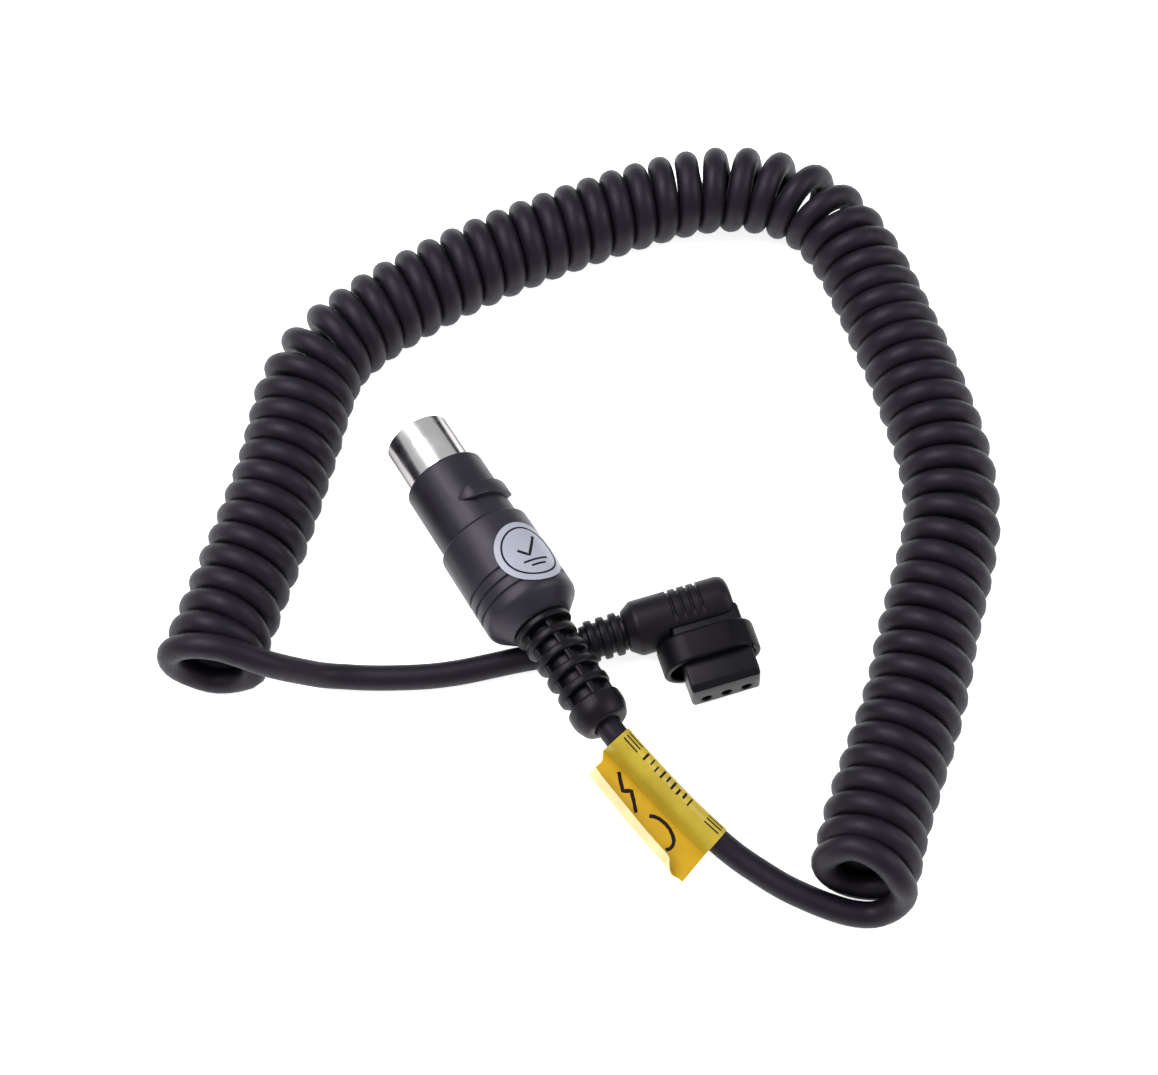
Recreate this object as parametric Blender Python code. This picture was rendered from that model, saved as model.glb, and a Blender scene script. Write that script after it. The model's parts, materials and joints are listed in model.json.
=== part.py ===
"""Coiled flash power cable: a round keyed plug at one end and a right-angle flash plug at the other.

Metres, +Z up. The round plug points along +Y, the table is the plane z = 0, and the origin is under
the middle of the round plug and its strain relief.
"""
import math

import bmesh
import bpy
import numpy
from mathutils import Matrix, Vector

MM = 0.001

# Round plug. Stations are distances back from the tip of the metal shell, in millimetres.
PLUG_TILT_DEG = 2.9
PLUG_TIP_Y = 35.40
SHELL_RADIUS = 6.60
SHELL_WALL = 0.45
SHELL_END = 33.0
CARRIER_FRONT = 8.6
CARRIER_BACK = 14.6
CARRIER_RADIUS = 5.85
PIN_CIRCLE_RADIUS = 3.60
PIN_RADIUS = 0.72
PIN_HOLE_RADIUS = 0.98
PIN_TIP = 1.6
PIN_BACK = 17.0
PIN_ANGLES_DEG = (-120.0, -60.0, 0.0, 60.0, 120.0)
COLLAR_FRONT = 11.0
COLLAR_STEP = 26.3
COLLAR_BACK = 29.6
COLLAR_RADIUS = 8.25
COLLAR_BORE = 6.90
COLLAR_TONGUE_RADIUS = 7.75
LUG_FRONT = 19.0
LUG_BACK = 22.3
LUG_CREST_RADIUS = 9.30
BODY_FRONT = 26.7
BODY_FRONT_RADIUS = 9.35
BODY_BACK_RADIUS = 9.50
BODY_CONTACT = 28.3
BODY_SHOULDER = 45.4
BODY_BACK = 48.5
BODY_NECK_RADIUS = 6.3
GROOVE_STATIONS = (38.0, 40.3, 42.6)
GROOVE_WIDTH = 0.55
GROOVE_DEPTH = 0.35
STICKER_RADIUS = 7.0
STICKER_STATION = 36.0
STICKER_ANGLE_DEG = 26.7
STICKER_INNER_RADIUS = 9.62
STICKER_THICKNESS = 0.14
BOOT_FRONT = 48.8
BOOT_RING_FIRST = 52.4
BOOT_RING_PITCH = 3.95
BOOT_RING_COUNT = 4
BOOT_RING_WIDTH = 1.8
BOOT_RING_RADIUS = 5.30
BOOT_CORE_RADIUS = 3.60
BOOT_BAR_RADIUS = 4.85
BOOT_BAR_FIRST_DEG = 8.0
BOOT_BAR_COUNT = 5
BULB_FRONT = 66.6
BULB_BACK = 71.0
BULB_RADIUS = 5.45

# Cord.
CORD_RADIUS = 2.45
CORD_GAP = 0.30

# Right-angle plug. Its own axis runs from the boot to the far end; the insert points sideways.
ELBOW_AT = (14.2, -20.42, 5.34)
ELBOW_HEADING_DEG = -14.3
ELBOW_PITCH_DEG = 3.0
ELBOW_RADIUS = 5.40
ELBOW_LENGTH = 21.2
ELBOW_GROOVES = (9.6, 11.45, 13.3, 15.15)
ELBOW_BOOT_LENGTH = 8.6
ELBOW_RING_RADIUS = 4.20
ELBOW_RING_PITCH = 2.45
SKIRT_CENTRE = 14.0
SKIRT_WIDTH = 19.2
SKIRT_HEIGHT = 11.6
SKIRT_BACK = 6.4
SKIRT_FRONT = 11.5
SKIRT_WALL = 1.25
INSERT_CENTRE = 14.9
INSERT_WIDTH = 12.6
INSERT_HEIGHT = 7.4
INSERT_BACK = 1.9
INSERT_FRONT = 17.1
CONTACT_PITCH = 3.95
CONTACT_DROP = 1.7
CONTACT_HOLE_RADIUS = 0.90

# Route of the coil's centre line on the table, from the flash end to the pack end: x, y and outer radius.
COIL_ROUTE = (
    (-57.4, 12.4, 9.50), (-51.0, 18.2, 9.45), (-44.9, 23.9, 9.38), (-38.8, 29.4, 9.32),
    (-32.8, 35.2, 9.25), (-26.7, 41.3, 9.18), (-20.5, 47.5, 9.12), (-14.4, 53.9, 9.04),
    (-7.4, 59.5, 8.97), (0.5, 62.5, 8.92), (8.6, 63.7, 8.88), (17.0, 64.1, 8.84),
    (25.4, 64.1, 8.80), (33.9, 63.6, 8.77), (42.2, 62.8, 8.74), (50.4, 61.7, 8.71),
    (58.8, 60.4, 8.69), (67.3, 58.8, 8.66), (75.6, 56.6, 8.64), (83.1, 53.5, 8.63),
    (90.0, 48.6, 8.64), (95.1, 42.2, 8.66), (97.4, 34.0, 8.71), (97.3, 24.9, 8.78),
    (95.8, 15.7, 8.84), (94.0, 6.9, 8.92), (92.2, -1.9, 8.98), (89.9, -10.4, 9.06),
    (87.4, -19.0, 9.13), (84.0, -27.1, 9.20), (79.5, -34.6, 9.27), (73.7, -40.9, 9.34),
    (67.4, -46.8, 9.41), (61.3, -52.6, 9.48), (55.6, -58.6, 9.54), (49.5, -64.2, 9.61),
    (43.3, -69.3, 9.67), (38.4, -73.3, 9.72), (33.1, -77.8, 9.78), (25.9, -84.7, 9.85),
)
COIL_END_TRIM = 5.5

# Route of the lead from the round plug to the coil, in row coordinates.
PACK_ROUTE = (
    (0.35, -39.6, 11.1), (1.6, -45.0, 9.6), (3.0, -50.2, 7.8), (4.5, -55.4, 6.0),
    (6.1, -60.4, 4.4), (7.7, -65.0, 3.2), (9.2, -69.0, 2.6), (11.2, -73.2, 2.5),
    (13.4, -77.6, 2.5), (16.0, -81.8, 2.5), (18.9, -85.4, 2.5), (22.3, -87.7, 2.5),
)

# Route of the lead from the coil to the right-angle plug.
FLASH_ROUTE = (
    (-58.2, 11.5, 15.2), (-56.0, 10.0, 14.3), (-53.0, 8.8, 12.6), (-49.4, 7.2, 10.4),
    (-45.6, 5.2, 7.6), (-41.6, 3.0, 4.7), (-37.4, 0.8, 3.0), (-33.0, -2.0, 2.5),
    (-28.0, -5.0, 2.5), (-22.0, -8.2, 2.5), (-16.5, -10.5, 2.5), (-11.0, -12.3, 2.5),
    (-6.0, -13.9, 2.5), (-1.0, -15.7, 2.5), (1.6, -16.7, 2.75), (3.6, -17.5, 3.7),
)

# Label: folded film flag around the pack lead.
LABEL_START_Y = -40.0
LABEL_END_Y = -64.6
LABEL_INNER_RADIUS = 2.75
LABEL_OUTER_RADIUS = 2.98
LABEL_FLAG = 7.4


def clear_scene():
    for existing in list(bpy.data.objects):
        bpy.data.objects.remove(existing, do_unlink=True)


def make_material(name, colour, roughness, metallic):
    material = bpy.data.materials.new(name)
    material.use_nodes = True
    shader = material.node_tree.nodes["Principled BSDF"]
    shader.inputs["Base Color"].default_value = (colour[0], colour[1], colour[2], 1.0)
    shader.inputs["Roughness"].default_value = roughness
    shader.inputs["Metallic"].default_value = metallic
    return material


def plug_frame():
    """Frame of the round plug: origin at the shell tip, +Y forward along the plug axis."""
    tilt = math.radians(PLUG_TILT_DEG)
    contact_y = PLUG_TIP_Y - BODY_CONTACT * math.cos(tilt)
    contact_z = BODY_FRONT_RADIUS * math.cos(tilt)
    tip_z = contact_z - BODY_CONTACT * math.sin(tilt)
    place = Matrix.Translation(Vector((0.0, contact_y + BODY_CONTACT * math.cos(tilt), tip_z)) * MM)
    return place @ Matrix.Rotation(-tilt, 4, "X")


def elbow_frame():
    """Frame of the right-angle plug: +X from its boot to its far end, -Y towards its contacts."""
    place = Matrix.Translation(Vector(ELBOW_AT) * MM)
    turn = Matrix.Rotation(math.radians(ELBOW_HEADING_DEG), 4, "Z")
    pitch = Matrix.Rotation(math.radians(-ELBOW_PITCH_DEG), 4, "Y")
    return place @ turn @ pitch


def raw_object(name, bm, material):
    """Turn a bmesh into an object that is still in millimetres, in its own frame."""
    bmesh.ops.remove_doubles(bm, verts=bm.verts, dist=0.0005)
    bmesh.ops.recalc_face_normals(bm, faces=bm.faces)
    mesh = bpy.data.meshes.new(name)
    bm.to_mesh(mesh)
    bm.free()
    mesh.materials.append(material)
    made = bpy.data.objects.new(name, mesh)
    bpy.context.scene.collection.objects.link(made)
    return made


def settle(made, frame, smooth_angle_deg=35.0):
    """Scale an object's mesh to metres, shade it and put it in its place."""
    mesh = made.data
    mesh.transform(Matrix.Diagonal((MM, MM, MM, 1.0)))
    made.matrix_world = frame
    mesh.polygons.foreach_set("use_smooth", [True] * len(mesh.polygons))
    mesh.set_sharp_from_angle(angle=math.radians(smooth_angle_deg))
    return made


def finish_object(name, bm, frame, material):
    return settle(raw_object(name, bm, material), frame)


def revolve_into(bm, profile, count, axis="Y", start_deg=0.0):
    """Sweep a closed loop of (distance along, radius) points around the axis."""
    rings = []
    for along, radius in profile:
        ring = []
        if radius < 0.0001:
            ring.append(bm.verts.new(axis_point(axis, along, 0.0, 0.0)))
        else:
            for step in range(count):
                angle = math.radians(start_deg) + 2.0 * math.pi * step / count
                ring.append(bm.verts.new(axis_point(axis, along, radius, angle)))
        rings.append(ring)
    total = len(rings)
    for index in range(total):
        join_rings(bm, rings[index], rings[(index + 1) % total], count)


def axis_point(axis, along, radius, angle):
    if axis == "Y":
        return Vector((radius * math.sin(angle), along, radius * math.cos(angle)))
    return Vector((along, radius * math.sin(angle), radius * math.cos(angle)))


def join_rings(bm, first, second, count):
    if len(first) == 1 and len(second) == 1:
        return
    for step in range(count):
        following = (step + 1) % count
        if len(first) == 1:
            bm.faces.new((first[0], second[step], second[following]))
        elif len(second) == 1:
            bm.faces.new((first[step], second[0], first[following]))
        else:
            bm.faces.new((first[step], second[step], second[following], first[following]))


def plug_profile(points):
    """Stations count back from the tip, so they run along -Y."""
    return [(-station, radius) for station, radius in points]


def plug_round(name, points, material, count=36):
    bm = bmesh.new()
    revolve_into(bm, plug_profile(points), count)
    return finish_object(name, bm, plug_frame(), material)


def boolean(target, cutter, operation):
    """Apply an exact Boolean to the target and remove the cutter."""
    modifier = target.modifiers.new("combine", "BOOLEAN")
    modifier.operation = operation
    modifier.solver = "EXACT"
    modifier.object = cutter
    cutter.hide_render = True
    cutter.display_type = "WIRE"
    bpy.context.view_layer.update()
    graph = bpy.context.evaluated_depsgraph_get()
    result = bpy.data.meshes.new_from_object(target.evaluated_get(graph))
    target.modifiers.remove(modifier)
    target.data = result
    bpy.data.objects.remove(cutter, do_unlink=True)
    return target


def make_plug_shell():
    inner = SHELL_RADIUS - SHELL_WALL
    points = (
        (0.15, inner), (0.0, inner + 0.15), (0.0, SHELL_RADIUS - 0.15), (0.15, SHELL_RADIUS),
        (SHELL_END, SHELL_RADIUS), (SHELL_END, inner),
    )
    return plug_round("plug_shell", points, make_material("shell_metal", (0.78, 0.78, 0.77), 0.22, 1.0), 40)


def make_pin_carrier():
    bm = bmesh.new()
    points = (
        (CARRIER_FRONT, 0.0), (CARRIER_FRONT, CARRIER_RADIUS - 0.3), (CARRIER_FRONT + 0.3, CARRIER_RADIUS),
        (CARRIER_BACK, CARRIER_RADIUS), (CARRIER_BACK, 0.0),
    )
    revolve_into(bm, plug_profile(points), 28)
    material = make_material("carrier_plastic", (0.03, 0.03, 0.033), 0.45, 0.0)
    carrier = raw_object("pin_carrier", bm, material)
    for angle_deg in PIN_ANGLES_DEG:
        cutter_bm = bmesh.new()
        hole = (
            (CARRIER_FRONT - 1.0, 0.0), (CARRIER_FRONT - 1.0, PIN_HOLE_RADIUS),
            (CARRIER_BACK + 1.0, PIN_HOLE_RADIUS), (CARRIER_BACK + 1.0, 0.0),
        )
        revolve_into(cutter_bm, plug_profile(hole), 16)
        bmesh.ops.translate(cutter_bm, verts=cutter_bm.verts, vec=pin_offset(angle_deg))
        boolean(carrier, raw_object("hole_cutter", cutter_bm, material), "DIFFERENCE")
    return settle(carrier, plug_frame())


def pin_offset(angle_deg):
    angle = math.radians(angle_deg)
    return Vector((PIN_CIRCLE_RADIUS * math.sin(angle), 0.0, PIN_CIRCLE_RADIUS * math.cos(angle)))


def make_contact_pins():
    for index, angle_deg in enumerate(PIN_ANGLES_DEG):
        bm = bmesh.new()
        points = (
            (PIN_TIP, 0.0), (PIN_TIP, PIN_RADIUS - 0.35), (PIN_TIP + 0.5, PIN_RADIUS),
            (PIN_BACK, PIN_RADIUS), (PIN_BACK, 0.0),
        )
        revolve_into(bm, plug_profile(points), 16)
        bmesh.ops.translate(bm, verts=bm.verts, vec=pin_offset(angle_deg))
        name = "contact_pin_%d" % (index + 1)
        finish_object(name, bm, plug_frame(), make_material(name + "_metal", (0.82, 0.74, 0.5), 0.3, 1.0))


def make_plug_conductors():
    """One insulated wire from each pin back to the crimp."""
    for index, angle_deg in enumerate(PIN_ANGLES_DEG):
        front = pin_offset(angle_deg)
        rear = front * (1.25 / PIN_CIRCLE_RADIUS)
        route = (
            Vector((front.x, -PIN_BACK - 0.3, front.z)),
            Vector((front.x, -PIN_BACK - 4.0, front.z)),
            Vector((front.x * 0.8 + rear.x * 0.2, -26.0, front.z * 0.8 + rear.z * 0.2)),
            Vector((front.x * 0.25 + rear.x * 0.75, -36.0, front.z * 0.25 + rear.z * 0.75)),
            Vector((rear.x, -41.0, rear.z)),
            Vector((rear.x, -45.4, rear.z)),
        )
        bm = bmesh.new()
        tube_into(bm, route, 0.5, 8)
        name = "plug_conductor_%d" % (index + 1)
        tint = (0.25 + 0.12 * index, 0.05 + 0.03 * index, 0.04)
        finish_object(name, bm, plug_frame(), make_material(name + "_jacket", tint, 0.5, 0.0))


def tube_into(bm, route, radius, sides):
    """A closed round tube through the given points."""
    count = len(route)
    previous_side = None
    rings = []
    for index in range(count):
        before = route[max(index - 1, 0)]
        after = route[min(index + 1, count - 1)]
        direction = (after - before).normalized()
        if previous_side is None:
            reference = Vector((0.0, 0.0, 1.0))
            if abs(direction.z) > 0.9:
                reference = Vector((1.0, 0.0, 0.0))
            side = direction.cross(reference).normalized()
        else:
            side = (previous_side - direction * previous_side.dot(direction)).normalized()
        previous_side = side
        up = side.cross(direction)
        ring = []
        for step in range(sides):
            angle = 2.0 * math.pi * step / sides
            offset = side * (radius * math.cos(angle)) + up * (radius * math.sin(angle))
            ring.append(bm.verts.new(route[index] + offset))
        rings.append(ring)
    for index in range(count - 1):
        join_rings(bm, rings[index], rings[index + 1], sides)
    bm.faces.new(rings[0])
    bm.faces.new(rings[-1])


def make_lock_collar():
    """Turning collar with its tangential lug."""
    points = (
        (COLLAR_FRONT, COLLAR_BORE), (COLLAR_FRONT, COLLAR_RADIUS - 1.0),
        (COLLAR_FRONT + 0.13, COLLAR_RADIUS - 0.5), (COLLAR_FRONT + 0.5, COLLAR_RADIUS - 0.13),
        (COLLAR_FRONT + 1.0, COLLAR_RADIUS), (COLLAR_STEP, COLLAR_RADIUS),
        (COLLAR_STEP, COLLAR_TONGUE_RADIUS), (COLLAR_BACK, COLLAR_TONGUE_RADIUS), (COLLAR_BACK, COLLAR_BORE),
        (24.0, COLLAR_BORE), (24.0, COLLAR_BORE + 0.55), (22.6, COLLAR_BORE + 0.55), (22.6, COLLAR_BORE),
    )
    material = make_material("collar_plastic", (0.028, 0.028, 0.031), 0.42, 0.0)
    bm = bmesh.new()
    revolve_into(bm, plug_profile(points), 40)
    collar = raw_object("lock_collar", bm, material)
    bm = bmesh.new()
    middle = (LUG_FRONT + LUG_BACK) / 2.0
    half = (LUG_BACK - LUG_FRONT) / 2.0
    sections = (
        (-16.0, 0.15, 0.0), (-2.0, 0.8, 0.7), (10.0, 1.0, 1.0), (25.0, 1.0, 1.0), (40.0, 1.0, 1.0),
        (55.0, 1.0, 1.0), (68.0, 1.0, 1.0), (78.0, 0.85, 0.95), (84.0, 0.5, 0.65),
    )
    rings = []
    for angle_deg, width, height in sections:
        base = COLLAR_RADIUS - 0.6
        crest = COLLAR_RADIUS + 0.05 + (LUG_CREST_RADIUS - COLLAR_RADIUS) * height
        corners = (
            (middle - half * width, base), (middle - half * width, crest - 0.25 * height),
            (middle - half * width + 0.3 * width, crest), (middle + half * width - 0.3 * width, crest),
            (middle + half * width, crest - 0.25 * height), (middle + half * width, base),
        )
        angle = math.radians(angle_deg)
        rings.append([bm.verts.new(axis_point("Y", -station, radius, angle)) for station, radius in corners])
    for index in range(len(rings) - 1):
        join_rings(bm, rings[index], rings[index + 1], 6)
    bm.faces.new(rings[0])
    bm.faces.new(rings[-1])
    boolean(collar, raw_object("lug", bm, material), "UNION")
    return settle(collar, plug_frame())


def make_retaining_ring():
    """Spring ring that keeps the collar on the shell."""
    points = ((22.9, 6.85), (22.9, 7.2), (23.7, 7.2), (23.7, 6.85))
    material = make_material("ring_metal", (0.6, 0.6, 0.6), 0.35, 1.0)
    return plug_round("collar_retaining_ring", points, material, 28)


def make_plug_body():
    outer = [
        (BODY_FRONT, COLLAR_TONGUE_RADIUS + 0.32), (BODY_FRONT, 8.75), (BODY_FRONT + 0.12, 8.98),
        (BODY_FRONT + 0.45, 9.18), (BODY_FRONT + 0.95, 9.31), (BODY_CONTACT, BODY_FRONT_RADIUS),
    ]
    slope = (BODY_BACK_RADIUS - BODY_FRONT_RADIUS) / (BODY_SHOULDER - BODY_CONTACT)
    for station in GROOVE_STATIONS:
        radius = BODY_FRONT_RADIUS + slope * (station - BODY_CONTACT)
        half = GROOVE_WIDTH / 2.0
        outer.append((station - half, radius))
        outer.append((station - half * 0.4, radius - GROOVE_DEPTH))
        outer.append((station + half * 0.4, radius - GROOVE_DEPTH))
        outer.append((station + half, radius))
    outer += [
        (BODY_SHOULDER - 0.5, BODY_BACK_RADIUS), (BODY_SHOULDER, BODY_BACK_RADIUS - 0.12),
        (BODY_SHOULDER + 0.5, BODY_BACK_RADIUS - 0.5), (BODY_BACK - 0.3, BODY_NECK_RADIUS + 0.25),
        (BODY_BACK, BODY_NECK_RADIUS), (BODY_BACK, 4.3),
    ]
    inner = [
        (46.4, 4.3), (46.4, 4.9), (44.8, 4.9), (44.8, 6.0), (33.6, 6.0), (33.6, 6.9), (30.4, 6.9),
        (30.4, COLLAR_TONGUE_RADIUS + 0.32),
    ]
    material = make_material("body_plastic", (0.024, 0.024, 0.027), 0.45, 0.0)
    return plug_round("plug_body", outer + inner, material, 40)


def make_inner_potting():
    """Filled core that grips the wires inside the plug body."""
    points = ((34.0, 3.6), (34.0, 5.7), (44.4, 5.7), (44.4, 2.3), (41.0, 2.3))
    material = make_material("potting_resin", (0.09, 0.085, 0.08), 0.6, 0.0)
    return plug_round("inner_potting", points, material, 24)


def make_crimp_ferrule():
    points = ((46.9, 2.75), (46.9, 3.1), (54.0, 3.1), (54.0, 2.75))
    material = make_material("ferrule_metal", (0.62, 0.6, 0.56), 0.35, 1.0)
    return plug_round("crimp_ferrule", points, material, 24)


def boot_radius(station, angle_deg):
    """Outer radius of the strain relief between its flange and its bulb."""
    for index in range(BOOT_RING_COUNT):
        centre = BOOT_RING_FIRST + index * BOOT_RING_PITCH
        away = abs(station - centre)
        if away <= BOOT_RING_WIDTH / 2.0 - 0.19:
            return BOOT_RING_RADIUS
        if away <= BOOT_RING_WIDTH / 2.0 - 0.01:
            return BOOT_RING_RADIUS - 0.22
    bar_pitch = 360.0 / BOOT_BAR_COUNT
    offset = (angle_deg - BOOT_BAR_FIRST_DEG + bar_pitch / 2.0) % bar_pitch - bar_pitch / 2.0
    if abs(offset) <= 7.6:
        return BOOT_BAR_RADIUS
    return BOOT_CORE_RADIUS


def make_plug_boot():
    """Ladder-type strain relief: flange, rings, axial bars and a rounded end bulb."""
    angles = []
    bar_pitch = 360.0 / BOOT_BAR_COUNT
    for bar in range(BOOT_BAR_COUNT):
        middle = BOOT_BAR_FIRST_DEG + bar * bar_pitch
        for offset in (-9.0, -7.5, 7.5, 9.0, 26.0, 46.0):
            angles.append(middle + offset)
    stations = []
    for index in range(BOOT_RING_COUNT):
        centre = BOOT_RING_FIRST + index * BOOT_RING_PITCH
        half = BOOT_RING_WIDTH / 2.0
        for offset in (-half - 0.02, -half + 0.01, -half + 0.2, half - 0.2, half - 0.01, half + 0.02):
            stations.append(centre + offset)
    bm = bmesh.new()
    rings = []
    first = (
        (BOOT_FRONT, 3.45), (BOOT_FRONT, 5.6), (BOOT_FRONT + 0.2, 5.8), (BOOT_FRONT + 1.0, 5.8),
        (BOOT_FRONT + 1.2, 5.6), (BOOT_FRONT + 1.25, BOOT_CORE_RADIUS),
    )
    last = (
        (BULB_FRONT, BOOT_CORE_RADIUS), (BULB_FRONT + 0.05, BULB_RADIUS - 0.45),
        (BULB_FRONT + 0.5, BULB_RADIUS - 0.1), (BULB_FRONT + 1.1, BULB_RADIUS),
        (BULB_BACK - 1.3, BULB_RADIUS), (BULB_BACK - 0.5, BULB_RADIUS - 0.4), (BULB_BACK, BULB_RADIUS - 1.3),
        (BULB_BACK, 2.75), (54.4, 2.75), (54.4, 3.45),
    )
    for station, radius in first:
        rings.append([boot_vertex(bm, station, boot_bar(station, radius, angle), angle) for angle in angles])
    for station in stations:
        rings.append([boot_vertex(bm, station, boot_radius(station, angle), angle) for angle in angles])
    for station, radius in last:
        rings.append([boot_vertex(bm, station, boot_bar(station, radius, angle), angle) for angle in angles])
    total = len(rings)
    for index in range(total):
        join_rings(bm, rings[index], rings[(index + 1) % total], len(angles))
    material = make_material("boot_rubber", (0.022, 0.022, 0.024), 0.5, 0.0)
    return finish_object("plug_boot", bm, plug_frame(), material)


def boot_bar(station, radius, angle_deg):
    """Let the axial bars reach the flange and the bulb."""
    if abs(radius - BOOT_CORE_RADIUS) < 0.0001:
        return boot_radius(station, angle_deg)
    return radius


def boot_vertex(bm, station, radius, angle_deg):
    return bm.verts.new(axis_point("Y", -station, radius, math.radians(angle_deg)))


def make_inspection_sticker():
    """Thin round film bent over the body."""
    bm = bmesh.new()
    columns = 20
    layers = []
    for radius in (STICKER_INNER_RADIUS, STICKER_INNER_RADIUS + STICKER_THICKNESS):
        centre = bm.verts.new(sticker_point(0.0, 0.0, radius))
        rings = []
        for share in (0.5, 1.0):
            ring = []
            for step in range(columns):
                angle = 2.0 * math.pi * step / columns
                around = STICKER_RADIUS * share * math.cos(angle)
                along = STICKER_RADIUS * share * math.sin(angle)
                ring.append(bm.verts.new(sticker_point(around, along, radius)))
            rings.append(ring)
        join_rings(bm, [centre], rings[0], columns)
        join_rings(bm, rings[0], rings[1], columns)
        layers.append(rings[1])
    join_rings(bm, layers[0], layers[1], columns)
    material = make_material("sticker_film", (0.82, 0.82, 0.88), 0.35, 0.0)
    return finish_object("inspection_sticker", bm, plug_frame(), material)


def sticker_point(around, along, radius):
    angle = math.radians(STICKER_ANGLE_DEG) + around / STICKER_INNER_RADIUS
    return axis_point("Y", -STICKER_STATION + along, radius, angle)


def smooth_route(points, count):
    """Catmull-Rom curve through the route points, sampled evenly along its length."""
    fixed = [Vector(point) for point in points]
    padded = [fixed[0] * 2.0 - fixed[1]] + fixed + [fixed[-1] * 2.0 - fixed[-2]]
    dense = []
    for index in range(1, len(padded) - 2):
        for step in range(12):
            dense.append(catmull(padded[index - 1:index + 3], step / 12.0))
    dense.append(fixed[-1])
    lengths = [0.0]
    for index in range(1, len(dense)):
        lengths.append(lengths[-1] + (dense[index] - dense[index - 1]).length)
    wanted = numpy.linspace(0.0, lengths[-1], count)
    columns = []
    for axis in range(len(dense[0])):
        columns.append(numpy.interp(wanted, lengths, [point[axis] for point in dense]))
    return [Vector(values) for values in zip(*columns)]


def catmull(four, share):
    before, start, end, after = four
    square = share * share
    cube = square * share
    return 0.5 * (
        start * 2.0 + (end - before) * share + (before * 2.0 - start * 5.0 + end * 4.0 - after) * square
        + (start * 3.0 - before - end * 3.0 + after) * cube
    )


def curve_tube(name, points, radii, resolution, material):
    """A filled tube along a polyline, as a curve object."""
    curve = bpy.data.curves.new(name, "CURVE")
    curve.dimensions = "3D"
    curve.bevel_depth = MM
    curve.bevel_resolution = resolution
    curve.use_fill_caps = True
    curve.twist_mode = "Z_UP"
    spline = curve.splines.new("POLY")
    spline.points.add(len(points) - 1)
    for index, point in enumerate(points):
        place = Vector(point[0:3]) * MM
        spline.points[index].co = (place.x, place.y, place.z, 1.0)
        spline.points[index].radius = radii[index]
    curve.materials.append(material)
    made = bpy.data.objects.new(name, curve)
    bpy.context.scene.collection.objects.link(made)
    return made


def coil_points():
    """Centre line and radius of the coil's outside, lying on the table."""
    route = [(x, y, radius) for x, y, radius in COIL_ROUTE]
    dense = smooth_route(route, 340)
    lengths = [0.0]
    for index in range(1, len(dense)):
        step = Vector((dense[index].x - dense[index - 1].x, dense[index].y - dense[index - 1].y))
        lengths.append(lengths[-1] + step.length)
    wanted = numpy.linspace(COIL_END_TRIM, lengths[-1] - COIL_END_TRIM, 56)
    xs = numpy.interp(wanted, lengths, [point.x for point in dense])
    ys = numpy.interp(wanted, lengths, [point.y for point in dense])
    radii = numpy.interp(wanted, lengths, [point.z for point in dense])
    return [Vector((x, y, radius)) for x, y, radius in zip(xs, ys, radii)]


def make_cord_coil():
    points = coil_points()
    radii = [point.z for point in points]
    material = make_material("coil_jacket", (0.02, 0.02, 0.022), 0.5, 0.0)
    return curve_tube("cord_coil", points, radii, 4, material)


def make_pack_lead():
    """Lead from inside the round plug to the coil's far face."""
    frame = plug_frame()
    inside = frame @ (Vector((0.0, -46.9, 0.0)) * MM) / MM
    middle = frame @ (Vector((0.0, -60.0, 0.0)) * MM) / MM
    outlet = frame @ (Vector((0.0, -72.5, 0.0)) * MM) / MM
    points = coil_points()
    face = points[-1]
    direction = Vector((points[-1].x - points[-2].x, points[-1].y - points[-2].y, 0.0)).normalized()
    meeting = Vector((face.x, face.y, CORD_RADIUS + 0.05)) + direction * CORD_GAP
    turning = meeting + direction * 4.0
    route = smooth_route([outlet] + list(PACK_ROUTE) + [turning, meeting], 34)
    route = [inside, middle] + route
    radii = [CORD_RADIUS] * len(route)
    material = make_material("pack_lead_jacket", (0.02, 0.02, 0.022), 0.5, 0.0)
    return curve_tube("cord_lead_pack", route, radii, 2, material)


def make_flash_lead():
    """Lead from the coil's near face to inside the right-angle plug."""
    frame = elbow_frame()
    points = coil_points()
    face = points[0]
    direction = Vector((points[0].x - points[1].x, points[0].y - points[1].y, 0.0)).normalized()
    meeting = Vector((face.x, face.y, 2.0 * face.z - CORD_RADIUS - 0.1)) + direction * CORD_GAP
    boot_mouth = frame @ (Vector((-ELBOW_BOOT_LENGTH + 0.2, 0.0, 0.0)) * MM) / MM
    inside = frame @ (Vector((0.8, 0.0, 0.0)) * MM) / MM
    leaving = meeting + direction * 3.0
    route = smooth_route([meeting, leaving] + list(FLASH_ROUTE) + [boot_mouth], 38)
    route = route + [inside]
    radii = [CORD_RADIUS] * len(route)
    material = make_material("flash_lead_jacket", (0.02, 0.02, 0.022), 0.5, 0.0)
    return curve_tube("cord_lead_flash", route, radii, 2, material)


def label_sections():
    """Stations of the label along the pack lead: position and direction."""
    route = smooth_route(list(PACK_ROUTE), 120)
    kept = [point for point in route if LABEL_END_Y <= point.y <= LABEL_START_Y]
    picked = [kept[round(share * (len(kept) - 1))] for share in numpy.linspace(0.0, 1.0, 10)]
    sections = []
    for index, point in enumerate(picked):
        before = picked[max(index - 1, 0)]
        after = picked[min(index + 1, len(picked) - 1)]
        sections.append((point, (after - before).normalized()))
    return sections


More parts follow.
